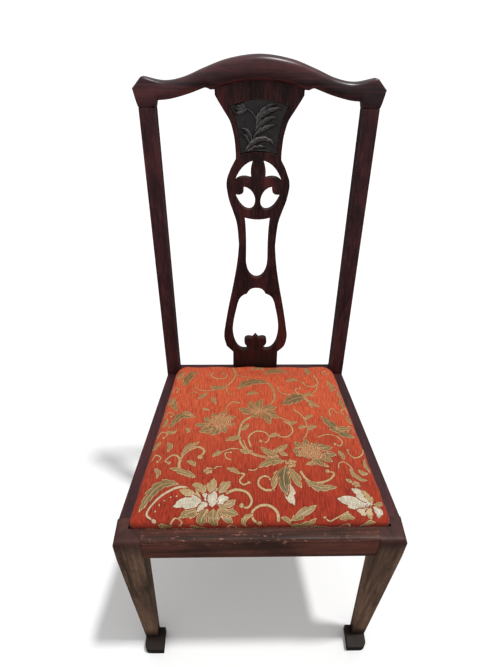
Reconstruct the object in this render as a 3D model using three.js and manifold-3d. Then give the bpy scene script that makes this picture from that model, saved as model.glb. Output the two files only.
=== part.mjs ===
// A mahogany dining chair with a serpentine crest rail, a pierced vase splat, square tapered
// front legs on block feet and a lift-out upholstered seat.
// Millimetres, +Z up, the front of the chair towards -Y.
// Everything is laid out with Y measured back from the front faces of the front legs, and the
// whole chair is then moved so that the origin is on the floor under the middle of its box.
import * as THREE from 'three';
import { mergeVertices } from 'three/addons/utils/BufferGeometryUtils.js';
import Module from 'manifold-3d';

const wasm = await Module();
wasm.setup();

// ---------------------------------------------------------------- driving dimensions
const gap = 0.3; // between touching pieces
const wide = 300; // half width of blanks and cutting blocks, beyond any part of the chair
const fine = 12; // steps in each curve of the crest rail and the splat

const seatTop = 450; // top of the seat rails
const railHeight = 51;
const rebateDepth = 14; // the ledge that the loose seat lies on, below the tops of the rails
const frontWidth = 480; // over the front legs
const rearWidth = 382; // over the back posts at the seat
const seatDepth = 387; // front of the front legs to front of the back posts

const legBlock = { width: 44.3, depth: 45.3, nose: 9 };
const ankle = { height: 24, outer: 3.4, inner: 14.8, front: 16, back: 9 }; // set in from the block
const foot = { width: 40, depth: 45, height: 20, outerInset: 2.7, toe: 10, cornerRadius: 13 };

const rake = THREE.MathUtils.degToRad(9); // lean of the back
const crestTop = 617; // along the back, above the seat rails
const postTop = 538; // along the back, where the posts meet the crest rail
const postFlare = 9; // how much further out the posts stand at the crest rail than at the seat
const postWidth = { floor: 28, seat: 26, top: 27.5 };
const postDepth = { floor: 28, seat: 32, top: 26 };
const legKick = 62; // how far the back feet stand behind the seat end of the posts

const crestDepth = 26.5;
const crestBulge = 6; // forward swell of the crest rail over the splat
const splatSetback = 12; // splat face behind the front of the posts
const splatDepth = 13;
const panelDepth = 2.5; // sunk carved panel at the top of the splat

const sideInset = 4; // side rails behind the outer faces of the front leg blocks
const railThickness = 30;
const railMargin = 20; // wood left showing beside the seat
const frontRail = { face: 1.5, back: 40, nose: 10, margin: 26 };
const rearRail = { front: 389, back: 418, lip: 398.5 };

const tenon = { long: 18, thick: 9, low: 405, high: 431 };
const postTenonSize = { inner: 179, outer: 193, front: 8, back: 18, long: 22 };
const splatTenon = { setback: 2.5, thick: 8, halfTop: 62, halfFoot: 36, top: 590, foot: -22 };
const seatFrame = { width: 48, thickness: 19.7, inset: 3 };
const strap = { width: 50, thickness: 1.5 };
const padTop = 474;

// ---------------------------------------------------------------- values worked out from them
const railBottom = seatTop - railHeight;
const ledge = seatTop - rebateDepth;
const halfFront = frontWidth / 2;
const halfRear = rearWidth / 2;
const legInner = halfFront - legBlock.width;
const railFrontX = halfFront - sideInset; // outer face of a side rail where it meets the leg
const railRearX = halfRear - 0.5; // and where it meets the post
const railSlope = (railFrontX - railRearX) / (seatDepth - legBlock.depth);
const railSkew = Math.hypot(1, railSlope);
const backOfCrest = seatDepth + crestTop * Math.sin(rake) + crestDepth * Math.cos(rake);
const middleY = (backOfCrest - foot.toe) / 2;

// X of a line parallel to a side rail's outer face and this far inside it
const sideLine = (y, inside) =>
  railFrontX - (y - legBlock.depth) * railSlope - inside * railSkew;

// ---------------------------------------------------------------- tools
function solidOf(geometry) {
  const bare = geometry.index ? geometry.toNonIndexed() : geometry.clone();
  bare.deleteAttribute('normal');
  bare.deleteAttribute('uv');
  const merged = mergeVertices(bare, 1e-4);
  return new wasm.Manifold(new wasm.Mesh({
    numProp: 3,
    vertProperties: new Float32Array(merged.attributes.position.array),
    triVerts: new Uint32Array(merged.index.array),
  }));
}

function geometryOf(solid) {
  const mesh = solid.getMesh();
  const geometry = new THREE.BufferGeometry();
  geometry.setAttribute('position', new THREE.BufferAttribute(mesh.vertProperties, 3));
  geometry.setIndex(new THREE.BufferAttribute(mesh.triVerts, 1));
  return geometry;
}

const shapeOf = (points) => new THREE.Shape(points.map(([x, y]) => new THREE.Vector2(x, y)));

// A plan outline (x, y) raised from z = low to z = high
function raised(shape, low, high, curveSegments = 6) {
  const geometry = new THREE.ExtrudeGeometry(shape, {
    depth: high - low, bevelEnabled: false, curveSegments,
  });
  return geometry.translate(0, 0, low);
}

// A front outline (x, z) carried from y = front to y = back
function carriedBack(shape, front, back, curveSegments = 6) {
  const geometry = new THREE.ExtrudeGeometry(shape, {
    depth: back - front, bevelEnabled: false, curveSegments,
  });
  return geometry.rotateX(Math.PI / 2).translate(0, back, 0);
}

// A side outline (y, z) carried from x = left to x = right
function carriedAcross(shape, left, right, curveSegments = 6) {
  const geometry = new THREE.ExtrudeGeometry(shape, {
    depth: right - left, bevelEnabled: false, curveSegments,
  });
  const turn = new THREE.Matrix4().set(0, 0, 1, left, 1, 0, 0, 0, 0, 1, 0, 0, 0, 0, 0, 1);
  return geometry.applyMatrix4(turn);
}

function box(x0, x1, y0, y1, z0, z1) {
  const geometry = new THREE.BoxGeometry(Math.abs(x1 - x0), y1 - y0, z1 - z0);
  return geometry.translate((x0 + x1) / 2, (y0 + y1) / 2, (z0 + z1) / 2);
}

// The back leans: x, depth and height along the back, from the front of the posts at the seat
const backFrame = new THREE.Matrix4()
  .makeTranslation(0, seatDepth, seatTop)
  .multiply(new THREE.Matrix4().makeRotationX(-rake));
const inBack = (geometry) => geometry.applyMatrix4(backFrame);

const colours = { mahogany: 0x4a2426, beech: 0xa8845c, steel: 0x8a8a86, jute: 0x9a8458, fabric: 0xb4492b };
const finishes = {
  mahogany: { roughness: 0.38, metalness: 0 },
  beech: { roughness: 0.75, metalness: 0 },
  steel: { roughness: 0.4, metalness: 1 },
  jute: { roughness: 0.95, metalness: 0 },
  fabric: { roughness: 0.9, metalness: 0 },
};

function piece(name, solid, finish) {
  const material = new THREE.MeshStandardMaterial({ color: colours[finish], ...finishes[finish] });
  const mesh = new THREE.Mesh(geometryOf(solid), material);
  mesh.name = name;
  return mesh;
}

const sides = [{ name: 'left', sign: -1 }, { name: 'right', sign: 1 }];

// ---------------------------------------------------------------- the seat recess
// Plan of the recess, set in by a given amount: straight front, tapering sides, rear corners
// cut off to clear the posts
function recessPlan(inset) {
  const front = frontRail.margin + inset;
  const back = rearRail.lip - inset;
  const corner = 22; // rear corners cut off over this much of the depth
  const right = [
    [sideLine(front, railMargin + inset), front],
    [sideLine(back - corner, railMargin + inset), back - corner],
    [sideLine(back, railMargin + inset) - 10, back],
  ];
  const left = right.map(([x, y]) => [-x, y]).reverse();
  return shapeOf([...right, ...left]);
}

const seatRecess = solidOf(raised(recessPlan(0), ledge, seatTop + 60));

// ---------------------------------------------------------------- tenons
const grown = (range) => [range[0] - gap, range[1] + gap];

// Tenons of a seat rail: long axis along X (front and rear rails)
function crossTenon(sign, shoulder, y0, y1, extra = 0) {
  const x0 = sign * (shoulder - 2);
  const x1 = sign * (shoulder + tenon.long + extra);
  return solidOf(box(x0, x1, y0 - extra, y1 + extra, tenon.low - extra, tenon.high + extra));
}

// Tenons of a side rail follow its skewed line
function sideTenon(sign, y0, y1, extra = 0) {
  const inner = railThickness / 2 + tenon.thick / 2 + extra;
  const outer = railThickness / 2 - tenon.thick / 2 - extra;
  const corners = [
    [sideLine(y0, outer), y0], [sideLine(y1, outer), y1],
    [sideLine(y1, inner), y1], [sideLine(y0, inner), y0],
  ].map(([x, y]) => [sign * x, y]);
  return solidOf(raised(shapeOf(corners), tenon.low - extra, tenon.high + extra));
}

const frontTenonY = [13.5, 13.5 + tenon.thick];
const rearTenonY = [rearRail.back - 3 - 7, rearRail.back - 3];
const sideTenonFront = legBlock.depth - tenon.long;
const sideTenonBack = seatDepth + tenon.long;

// Tenons at the post tops, in the back's own axes
function postTenon(sign, extra = 0) {
  const { inner, outer, front, back, long } = postTenonSize;
  return solidOf(inBack(box(
    sign * (inner - extra), sign * (outer + extra), front - extra, back + extra,
    postTop - 2, postTop + long + extra,
  )));
}

// ---------------------------------------------------------------- front legs
function frontLeg(sign) {
  const low = ankle.height - 8; // the shaft runs a little way into the foot
  const { depth, nose } = legBlock;
  const side = new THREE.Shape();
  side.moveTo(nose, seatTop);
  side.quadraticCurveTo(0, seatTop, 0, seatTop - nose);
  side.lineTo(0, railBottom);
  side.lineTo(ankle.front, low);
  side.lineTo(depth - ankle.back, low);
  side.lineTo(depth, railBottom);
  side.lineTo(depth, seatTop);
  side.closePath();
  const front = new THREE.Shape();
  front.moveTo(sign * legInner, seatTop);
  front.lineTo(sign * legInner, railBottom);
  front.lineTo(sign * (legInner + ankle.inner), low);
  front.lineTo(sign * (halfFront - ankle.outer), low);
  front.lineTo(sign * halfFront, railBottom);
  front.lineTo(sign * halfFront, seatTop - nose);
  front.quadraticCurveTo(sign * halfFront, seatTop, sign * (halfFront - nose), seatTop);
  front.closePath();
  const shaft = solidOf(carriedAcross(side, -halfFront, halfFront))
    .intersect(solidOf(carriedBack(front, 0, legBlock.depth)));
  return shaft.add(blockFoot(sign))
    .subtract(seatRecess)
    .subtract(crossTenon(sign, legInner, frontTenonY[0], frontTenonY[1], gap))
    .subtract(sideTenon(sign, sideTenonFront - gap, legBlock.depth + 5, gap));
}

function blockFoot(sign) {
  const outer = halfFront - foot.outerInset;
  const inner = outer - foot.width;
  const front = -foot.toe;
  const back = front + foot.depth;
  const r = foot.cornerRadius;
  const plan = new THREE.Shape();
  plan.moveTo(sign * inner, front);
  plan.lineTo(sign * (outer - r), front);
  plan.quadraticCurveTo(sign * outer, front, sign * outer, front + r);
  plan.lineTo(sign * outer, back);
  plan.lineTo(sign * inner, back);
  plan.closePath();
  return solidOf(raised(plan, 0, foot.height));
}

// ---------------------------------------------------------------- back posts, each one piece with its leg
function backPost(sign) {
  const lean = Math.tan(rake);
  const over = seatTop + 550; // the blank runs past the shoulder and is cut there
  const topDepth = postDepth.top / Math.cos(rake);
  const side = new THREE.Shape();
  side.moveTo(seatDepth + (over - seatTop) * lean, over);
  side.lineTo(seatDepth, seatTop);
  side.lineTo(seatDepth, railBottom);
  side.bezierCurveTo(seatDepth, 290, seatDepth + 38, 130, seatDepth + legKick, 0);
  side.lineTo(seatDepth + legKick + postDepth.floor, 0);
  side.bezierCurveTo(seatDepth + 70, 130, seatDepth + postDepth.seat, 290,
    seatDepth + postDepth.seat, railBottom);
  side.lineTo(seatDepth + postDepth.seat, seatTop + 5);
  side.lineTo(seatDepth + (over - seatTop) * lean + topDepth, over);

  const outerTop = halfRear + postFlare * (over - seatTop) / (postTop * Math.cos(rake));
  const front = shapeOf([
    [halfRear - 4, 0], [halfRear, railBottom], [halfRear, seatTop], [outerTop, over],
    [outerTop - postWidth.top, over], [halfRear - postWidth.seat, seatTop],
    [halfRear - postWidth.seat, railBottom], [halfRear - 4 - postWidth.floor, 0],
  ].map(([x, z]) => [sign * x, z]));
  const sawn = solidOf(carriedAcross(side, -wide, wide, 8))
    .intersect(solidOf(carriedBack(front, seatDepth - 100, seatDepth + 200)));
  const aboveShoulder = solidOf(inBack(box(-wide, wide, -100, 100, postTop - gap, postTop + 200)));
  return sawn.subtract(aboveShoulder)
    .add(postTenon(sign))
    .subtract(crossTenon(sign, halfRear - postWidth.seat, rearTenonY[0], rearTenonY[1], gap))
    .subtract(sideTenon(sign, seatDepth - 5, sideTenonBack + gap, gap));
}

// ---------------------------------------------------------------- crest rail
// Half outlines in the back's own axes, from the middle outwards
const crestTopLine = [[0, 617], [50, 610.5], [90, 597], [125, 583], [157, 577.5], [192.5, 584]];
const crestUnderside = [[169.8, 548.5], [148, 550.5], [118, 558], [91, 567.5]];
const crestNotch = { bend: [87, 567.5], point: [81, 564.8] };
const crestArch = { end: [74, 565.4], middle: 579 }; // underside over the splat
const crestEar = { tip: [207.5, 567], bend: [200.5, 556], outer: 199.7, inner: 172 };

const mirror = ([x, v]) => [-x, v];

function crestOutline() {
  const outline = new THREE.Shape();
  const top = crestTopLine.map(([x, v]) => new THREE.Vector2(x, v));
  const mirrored = top.slice(1).map((p) => new THREE.Vector2(-p.x, p.y)).reverse();
  const under = crestUnderside.map(([x, v]) => new THREE.Vector2(x, v));
  outline.moveTo(mirrored[0].x, mirrored[0].y);
  outline.splineThru([...mirrored.slice(1), ...top]);
  outline.lineTo(...crestEar.tip);
  outline.quadraticCurveTo(...crestEar.bend, crestEar.outer, postTop);
  outline.lineTo(crestEar.inner, postTop);
  outline.lineTo(...crestUnderside[0]);
  outline.splineThru(under.slice(1));
  outline.quadraticCurveTo(...crestNotch.bend, ...crestNotch.point);
  outline.lineTo(...crestArch.end);
  outline.quadraticCurveTo(0, 2 * crestArch.middle - crestArch.end[1], ...mirror(crestArch.end));
  outline.lineTo(...mirror(crestNotch.point));
  outline.quadraticCurveTo(...mirror(crestNotch.bend), -under[3].x, under[3].y);
  outline.splineThru([...under].reverse().slice(1).map((p) => new THREE.Vector2(-p.x, p.y)));
  outline.lineTo(-crestEar.inner, postTop);
  outline.lineTo(-crestEar.outer, postTop);
  outline.quadraticCurveTo(...mirror(crestEar.bend), ...mirror(crestEar.tip));
  return outline;
}

function crestRail() {
  const blank = solidOf(inBack(carriedBack(crestOutline(), -crestBulge - 1, crestDepth, fine)));
  const plan = new THREE.Shape();
  plan.moveTo(-wide, 0);
  plan.lineTo(-120, 0);
  plan.bezierCurveTo(-80, 0, -70, -crestBulge, 0, -crestBulge);
  plan.bezierCurveTo(70, -crestBulge, 80, 0, 120, 0);
  plan.lineTo(wide, 0);
  plan.lineTo(wide, crestDepth);
  plan.lineTo(-wide, crestDepth);
  plan.closePath();
  const swell = solidOf(inBack(raised(plan, postTop - 40, crestTop + 40, fine)));
  return blank.intersect(swell)
    .subtract(splatTopTenon(gap))
    .subtract(postTenon(-1, gap))
    .subtract(postTenon(1, gap));
}

// ---------------------------------------------------------------- splat
// Right half of the splat's edge, from the crest rail down to the seat
const splatEdge = {
  shoulder: [[74.5, 600], [74.5, 557]],
  upper: [[70, 549], [60.5, 534], [50, 517], [45.5, 503], [42.3, 488], [40.3, 466], [40.2, 452]],
  ring: [[49, 436], [56, 418], [56.8, 404], [52.6, 381], [45.5, 360], [38.6, 336], [35.2, 300]],
  vase: [[35.4, 284], [39.2, 248], [47.5, 200], [57, 152], [64.5, 107], [66.3, 88], [61.5, 66]],
  plinth: [[47.8, 51], [47.8, -6]],
};

const vectors = (points) => points.map(([x, v]) => new THREE.Vector2(x, v));

function splatOutline() {
  const outline = new THREE.Shape();
  const { shoulder, upper, ring, vase, plinth } = splatEdge;
  const waist = [...ring.slice(1), ...vase];
  outline.moveTo(...mirror(plinth[1]));
  outline.lineTo(...plinth[1]);
  outline.lineTo(...plinth[0]);
  outline.splineThru(vectors([...waist].reverse()));
  outline.lineTo(...ring[0]);
  outline.lineTo(...upper[upper.length - 1]);
  outline.splineThru(vectors([...upper].reverse().slice(1)));
  outline.lineTo(...shoulder[1]);
  outline.lineTo(...shoulder[0]);
  outline.lineTo(...mirror(shoulder[0]));
  outline.lineTo(...mirror(shoulder[1]));
  outline.splineThru(vectors(upper.map(mirror)));
  outline.lineTo(...mirror(ring[0]));
  outline.splineThru(vectors(waist.map(mirror)));
  outline.lineTo(...mirror(plinth[0]));
  outline.closePath();
  return outline;
}

// The fleur-de-lis ring: two openings above the side petals and two below them
function upperRingOpening(sign) {
  const path = new THREE.Path();
  path.moveTo(sign * 8.4, 451.5);
  path.quadraticCurveTo(sign * 31, 447, sign * 43, 414);
  path.bezierCurveTo(sign * 36, 425, sign * 22, 424, sign * 12.4, 420.5);
  path.quadraticCurveTo(sign * 15.5, 437, sign * 8.4, 451.5);
  return path;
}

function lowerRingOpening(sign) {
  const path = new THREE.Path();
  path.moveTo(sign * 24.8, 405.5);
  path.bezierCurveTo(sign * 13, 404, sign * 4.4, 391, sign * 4.8, 378);
  path.bezierCurveTo(sign * 5, 367, sign * 10, 363, sign * 16, 363.2);
  path.bezierCurveTo(sign * 26, 363.6, sign * 35, 374, sign * 42, 392.5);
  path.quadraticCurveTo(sign * 36.5, 390.5, sign * 32, 391.6);
  path.quadraticCurveTo(sign * 24, 394, sign * 26.5, 404);
  path.lineTo(sign * 24.8, 405.5);
  return path;
}

function tallSlot() {
  const path = new THREE.Path();
  path.moveTo(-24.2, 348.6);
  path.quadraticCurveTo(0, 341, 24.2, 348.6);
  path.bezierCurveTo(20.6, 325, 20.5, 300, 21, 262);
  path.bezierCurveTo(21.3, 212, -21.3, 212, -21, 262);
  path.bezierCurveTo(-20.5, 300, -20.6, 325, -24.2, 348.6);
  return path;
}

function vaseOpening() {
  const half = (path, s) => {
    path.bezierCurveTo(s * 12, 203.4, s * 15, 198, s * 18.8, 190.5);
    path.bezierCurveTo(s * 30, 187, s * 35, 181, s * 38.5, 164);
    path.bezierCurveTo(s * 42, 147, s * 47.5, 128, s * 48, 104);
    path.bezierCurveTo(s * 48.2, 84, s * 42, 56.5, s * 25, 55.2);
    path.quadraticCurveTo(s * 19, 55, s * 14.5, 59);
    path.bezierCurveTo(s * 16.5, 66, s * 22.5, 66, s * 23.6, 76);
    path.bezierCurveTo(s * 24, 87.5, s * 12, 86, s * 6.5, 83.5);
    path.quadraticCurveTo(s * 4, 86, 0, 91.5);
  };
  const path = new THREE.Path();
  path.moveTo(0, 203.4);
  half(path, 1);
  const left = new THREE.Path();
  left.moveTo(0, 203.4);
  half(left, -1);
  const back = left.getPoints(fine).reverse();
  const right = path.getPoints(fine);
  return new THREE.Path([...right, ...back.slice(1, -1)]);
}

function carvedPanel() {
  const panel = new THREE.Shape();
  panel.moveTo(-50.5, 539.5);
  panel.quadraticCurveTo(0, 562, 50.5, 539.5);
  panel.bezierCurveTo(40, 520, 34.5, 495, 32.5, 461);
  panel.quadraticCurveTo(0, 472, -32.5, 461);
  panel.bezierCurveTo(-34.5, 495, -40, 520, -50.5, 539.5);
  return panel;
}

// The splat's top fits a long mortise in the underside of the crest rail, its foot one in the
// top of the rear seat rail
function splatTopTenon(extra = 0) {
  const { setback, thick, halfTop, top } = splatTenon;
  const front = splatSetback + setback - extra;
  const half = halfTop + extra;
  return solidOf(inBack(box(-half, half, front, front + thick + 2 * extra, 555, top + extra)));
}

function splatFootTenon(extra = 0) {
  const { setback, thick, halfFoot, foot: low } = splatTenon;
  const front = splatSetback + setback - extra;
  const half = halfFoot + extra;
  return solidOf(inBack(box(-half, half, front, front + thick + 2 * extra, low - extra, 6)));
}

function splat() {
  const outline = splatOutline();
  outline.holes.push(tallSlot(), vaseOpening());
  for (const { sign } of sides) outline.holes.push(upperRingOpening(sign), lowerRingOpening(sign));
  const board = solidOf(inBack(carriedBack(outline, splatSetback, splatSetback + splatDepth, fine)));
  const [endX, endV] = crestArch.end;
  const underCrest = new THREE.Shape();
  underCrest.moveTo(-90, endV - 5.4);
  underCrest.lineTo(-endX, endV - gap);
  underCrest.quadraticCurveTo(0, 2 * crestArch.middle - endV - gap, endX, endV - gap);
  underCrest.lineTo(90, endV - 5.4);
  underCrest.lineTo(90, crestTop + 20);
  underCrest.lineTo(-90, crestTop + 20);
  underCrest.closePath();
  const cutTop = solidOf(inBack(carriedBack(underCrest, -40, 60, fine)));
  const sunkFront = splatSetback - 5;
  const sunk = solidOf(inBack(carriedBack(carvedPanel(), sunkFront, splatSetback + panelDepth, fine)));
  const belowRail = solidOf(box(-wide, wide, seatDepth - 80, seatDepth + 110, 380, seatTop + gap));
  return board.subtract(cutTop).subtract(sunk).subtract(belowRail)
    .add(splatTopTenon())
    .add(splatFootTenon());
}

// ---------------------------------------------------------------- seat rails
function makeFrontRail() {
  const { face, back, nose } = frontRail;
  const section = new THREE.Shape();
  section.moveTo(face, railBottom);
  section.lineTo(back, railBottom);
  section.lineTo(back, seatTop);
  section.lineTo(face + nose, seatTop);
  section.quadraticCurveTo(face, seatTop, face, seatTop - nose);
  section.closePath();
  const length = legInner - gap;
  return solidOf(carriedAcross(section, -length, length))
    .subtract(seatRecess)
    .add(crossTenon(-1, legInner, ...frontTenonY))
    .add(crossTenon(1, legInner, ...frontTenonY));
}

function makeSideRail(sign) {
  const y0 = legBlock.depth + gap;
  const y1 = seatDepth - gap;
  const plan = shapeOf([
    [sideLine(y0, 0), y0], [sideLine(y1, 0), y1],
    [sideLine(y1, railThickness), y1], [sideLine(y0, railThickness), y0],
  ].map(([x, y]) => [sign * x, y]));
  return solidOf(raised(plan, railBottom, seatTop))
    .subtract(seatRecess)
    .add(sideTenon(sign, sideTenonFront, y0 + 2))
    .add(sideTenon(sign, y1 - 2, sideTenonBack));
}

function makeRearRail() {
  const { front, back } = rearRail;
  const length = halfRear - postWidth.seat - gap;
  return solidOf(box(-length, length, front, back, railBottom, seatTop))
    .subtract(seatRecess)
    .subtract(splatFootTenon(gap))
    .add(crossTenon(-1, length + gap, ...rearTenonY))
    .add(crossTenon(1, length + gap, ...rearTenonY));
}

// ---------------------------------------------------------------- corner blocks and their screws
const block = { low: railBottom + 5, high: ledge - 6, reach: 52 };

// Plan of the block in a front or rear corner, right-hand side
function blockPlan(corner) {
  const inside = railThickness + gap;
  if (corner === 'front') {
    const y = frontRail.back + gap;
    const far = y + block.reach;
    return [
      [legInner - gap, y], [legInner - gap, legBlock.depth + gap],
      [sideLine(legBlock.depth + gap, inside), legBlock.depth + gap],
      [sideLine(far, inside), far], [legInner - block.reach, y],
    ];
  }
  const y = rearRail.front - gap;
  const inner = halfRear - postWidth.seat - block.reach;
  const post = seatDepth - gap;
  return [
    [sideLine(post, inside), y], [sideLine(y - block.reach, inside), y - block.reach], [inner, y],
  ];
}

// A countersunk wood screw with its head at the origin, pointing along +Y. Its hole is larger
// all round and has a counterbore that runs out of the block's long face.
const counterbore = 14;

function screwShape(extra = 0) {
  const head = 4 + extra;
  const shank = 2 + extra;
  const length = 38 + extra;
  const start = extra > 0 ? -counterbore : 0;
  const points = [
    [0, start], [head, start], [head, 0.6], [shank, 3], [shank, length - 4], [0, length],
  ];
  const profile = points.map(([r, y]) => new THREE.Vector2(r, y));
  return new THREE.LatheGeometry(profile, 10);
}

// Where each screw sits: its head in the block's long face, its point in the rail
function screwPlaces(corner) {
  const z = (block.low + block.high) / 2;
  const plan = blockPlan(corner);
  if (corner === 'front') {
    const y = frontRail.back;
    return [
      { x: plan[4][0] + 16, y: y + 18, z: z - 6, angle: Math.PI },
      { x: sideLine(y + 36, railThickness) - 18, y: y + 36, z: z + 6, angle: -Math.PI / 2 },
    ];
  }
  const y = rearRail.front;
  return [
    { x: plan[2][0] + 16, y: y - 18, z: z - 6, angle: 0 },
    { x: sideLine(y - 36, railThickness) - 18, y: y - 36, z: z + 6, angle: -Math.PI / 2 },
  ];
}

function screw(sign, place, extra = 0) {
  const geometry = screwShape(extra);
  geometry.rotateZ(sign > 0 ? place.angle : -place.angle);
  return solidOf(geometry.translate(sign * place.x, place.y, place.z));
}

function cornerBlock(sign, corner) {
  const plan = shapeOf(blockPlan(corner).map(([x, y]) => [sign * x, y]));
  let solid = solidOf(raised(plan, block.low, block.high));
  for (const place of screwPlaces(corner)) solid = solid.subtract(screw(sign, place, gap));
  return solid;
}

// ---------------------------------------------------------------- lift-out seat
const frameLow = ledge + gap;
const frameHigh = frameLow + seatFrame.thickness;
const lap = (frameLow + frameHigh) / 2;

function seatFrameParts() {
  const outer = solidOf(raised(recessPlan(seatFrame.inset), frameLow, frameHigh));
  const frontEdge = frontRail.margin + seatFrame.inset + seatFrame.width;
  const backEdge = rearRail.lip - seatFrame.inset - seatFrame.width;
  const cross = (y0, y1, low, high) => solidOf(box(-wide, wide, y0, y1, low, high));
  const inside = railMargin + seatFrame.inset + seatFrame.width;
  const behind = seatDepth + 60;
  const above = seatTop + 150;
  const flank = (sign, low, high) => solidOf(raised(shapeOf([
    [sign * sideLine(0, inside), 0], [sign * wide, 0],
    [sign * wide, behind], [sign * sideLine(behind, inside), behind],
  ]), low, high));
  const parts = {};
  for (const [name, y0, y1] of [['front', 0, frontEdge], ['rear', backEdge, behind]]) {
    let member = outer.intersect(cross(y0, y1, 0, above));
    for (const { sign } of sides) member = member.subtract(flank(sign, lap - gap / 2, above));
    parts[name] = member;
  }
  for (const { name, sign } of sides) {
    parts[name] = outer.intersect(flank(sign, 0, above))
      .subtract(cross(0, frontEdge + gap, 0, lap + gap / 2))
      .subtract(cross(backEdge - gap, behind, 0, lap + gap / 2));
  }
  return parts;
}

const strapLow = frameHigh + gap;
const crossLow = strapLow + strap.thickness + gap;
const padBottom = crossLow + strap.thickness + gap;

function webbing() {
  const parts = {};
  const front = frontRail.margin + 20;
  const back = rearRail.lip - 20;
  const half = strap.width / 2;
  for (const [index, x] of [-92, 0, 92].entries()) {
    const solid = solidOf(box(x - half, x + half, front, back, strapLow, strapLow + strap.thickness));
    parts[`webbing_long_${index + 1}`] = solid;
  }
  for (const [index, y] of [124, 212, 300].entries()) {
    const reach = sideLine(y, railMargin + 20);
    const solid = solidOf(box(-reach, reach, y - half, y + half, crossLow, crossLow + strap.thickness));
    parts[`webbing_cross_${index + 1}`] = solid;
  }
  return parts;
}

// Stuffed top with its cover turned down round the frame: rounded corners and a soft top edge
function seatPad() {
  const clear = 0.6;
  const soft = 13; // radius of the top edge
  const front = frontRail.margin + clear + soft;
  const back = rearRail.lip - clear - soft;
  const cornerFront = sideLine(front, railMargin + clear) - soft;
  const cornerBack = sideLine(back - 30, railMargin + clear) - soft;
  const plan = new THREE.Shape();
  plan.moveTo(0, front);
  plan.lineTo(cornerFront - 4, front);
  plan.quadraticCurveTo(cornerFront, front, cornerFront - 0.5, front + 4);
  plan.lineTo(cornerBack, back - 30);
  plan.quadraticCurveTo(cornerBack - 2, back - 2, cornerBack - 24, back);
  plan.lineTo(-cornerBack + 24, back);
  plan.quadraticCurveTo(-cornerBack + 2, back - 2, -cornerBack, back - 30);
  plan.lineTo(-cornerFront + 0.5, front + 4);
  plan.quadraticCurveTo(-cornerFront, front, -cornerFront + 4, front);
  plan.closePath();
  const lowEdge = frameLow + 4;
  const domed = new THREE.ExtrudeGeometry(plan, {
    depth: padTop - lowEdge, bevelEnabled: true, bevelThickness: soft, bevelSize: soft,
    bevelSegments: 4, curveSegments: 4,
  }).translate(0, 0, lowEdge - soft);
  const belowEdge = solidOf(box(-wide, wide, -50, seatDepth + 110, 380, lowEdge));
  const hollow = solidOf(raised(recessPlan(seatFrame.inset - gap), 380, padBottom));
  return solidOf(domed).subtract(belowEdge).subtract(hollow);
}

// ---------------------------------------------------------------- the chair
const frame = new THREE.Group();
const looseSeat = new THREE.Group();

let frontRailSolid = makeFrontRail();
let rearRailSolid = makeRearRail();
for (const { name, sign } of sides) {
  let sideRail = makeSideRail(sign);
  for (const corner of ['front', 'rear']) {
    const holder = cornerBlock(sign, corner);
    frame.add(piece(`corner_block_${corner}_${name}`, holder, 'beech'));
    for (const [index, place] of screwPlaces(corner).entries()) {
      frame.add(piece(`block_screw_${corner}_${name}_${index + 1}`, screw(sign, place), 'steel'));
      const hole = screw(sign, place, gap);
      if (index === 1) sideRail = sideRail.subtract(hole);
      else if (corner === 'front') frontRailSolid = frontRailSolid.subtract(hole);
      else rearRailSolid = rearRailSolid.subtract(hole);
    }
  }
  frame.add(piece(`side_rail_${name}`, sideRail, 'mahogany'));
  frame.add(piece(`front_leg_${name}`, frontLeg(sign), 'mahogany'));
  frame.add(piece(`back_post_${name}`, backPost(sign), 'mahogany'));
}
frame.add(piece('front_rail', frontRailSolid, 'mahogany'));
frame.add(piece('rear_rail', rearRailSolid, 'mahogany'));
frame.add(piece('crest_rail', crestRail(), 'mahogany'));
frame.add(piece('back_splat', splat(), 'mahogany'));

for (const [name, solid] of Object.entries(seatFrameParts())) {
  looseSeat.add(piece(`seat_frame_${name}`, solid, 'beech'));
}
for (const [name, solid] of Object.entries(webbing())) looseSeat.add(piece(name, solid, 'jute'));
looseSeat.add(piece('seat_pad', seatPad(), 'fabric'));

const chair = new THREE.Group();
chair.add(frame, looseSeat);
chair.position.y = -middleY;
chair.updateMatrixWorld(true);
export default chair;
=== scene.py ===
# A mahogany dining chair with a carved and pierced splat and a lift-out brocade seat, dressed
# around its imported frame. Plain numbers for shapes are millimetres; MM turns them into metres.
import math

import bpy
import numpy as np
from mathutils import Matrix, Vector, kdtree


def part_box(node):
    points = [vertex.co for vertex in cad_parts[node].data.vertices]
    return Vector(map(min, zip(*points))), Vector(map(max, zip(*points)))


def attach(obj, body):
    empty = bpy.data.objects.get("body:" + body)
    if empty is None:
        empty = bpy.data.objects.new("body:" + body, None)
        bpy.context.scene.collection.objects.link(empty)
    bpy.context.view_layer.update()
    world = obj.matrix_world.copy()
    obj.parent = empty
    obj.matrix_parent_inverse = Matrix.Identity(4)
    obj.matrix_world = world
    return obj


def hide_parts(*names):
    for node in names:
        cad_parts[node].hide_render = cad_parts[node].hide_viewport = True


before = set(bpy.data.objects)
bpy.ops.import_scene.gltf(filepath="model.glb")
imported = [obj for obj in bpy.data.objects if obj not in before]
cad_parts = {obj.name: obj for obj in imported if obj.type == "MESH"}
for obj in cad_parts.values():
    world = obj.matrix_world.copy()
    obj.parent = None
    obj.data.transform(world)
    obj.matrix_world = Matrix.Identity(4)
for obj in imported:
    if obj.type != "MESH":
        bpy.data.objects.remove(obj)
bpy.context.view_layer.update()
MM = 0.001

# ---------------------------------------------------------------- places taken from the frame
FRONT_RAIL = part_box("front_rail")
LEG_FRONT = FRONT_RAIL[0][1] - 1.5 * MM  # front faces of the leg blocks: Y is measured from here
SEAT_TOP = FRONT_RAIL[1][2]
SEAT_DEPTH = 387  # front of the legs to the front of the back posts
RAKE = math.radians(9)
BACK_START = LEG_FRONT + SEAT_DEPTH * MM


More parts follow.
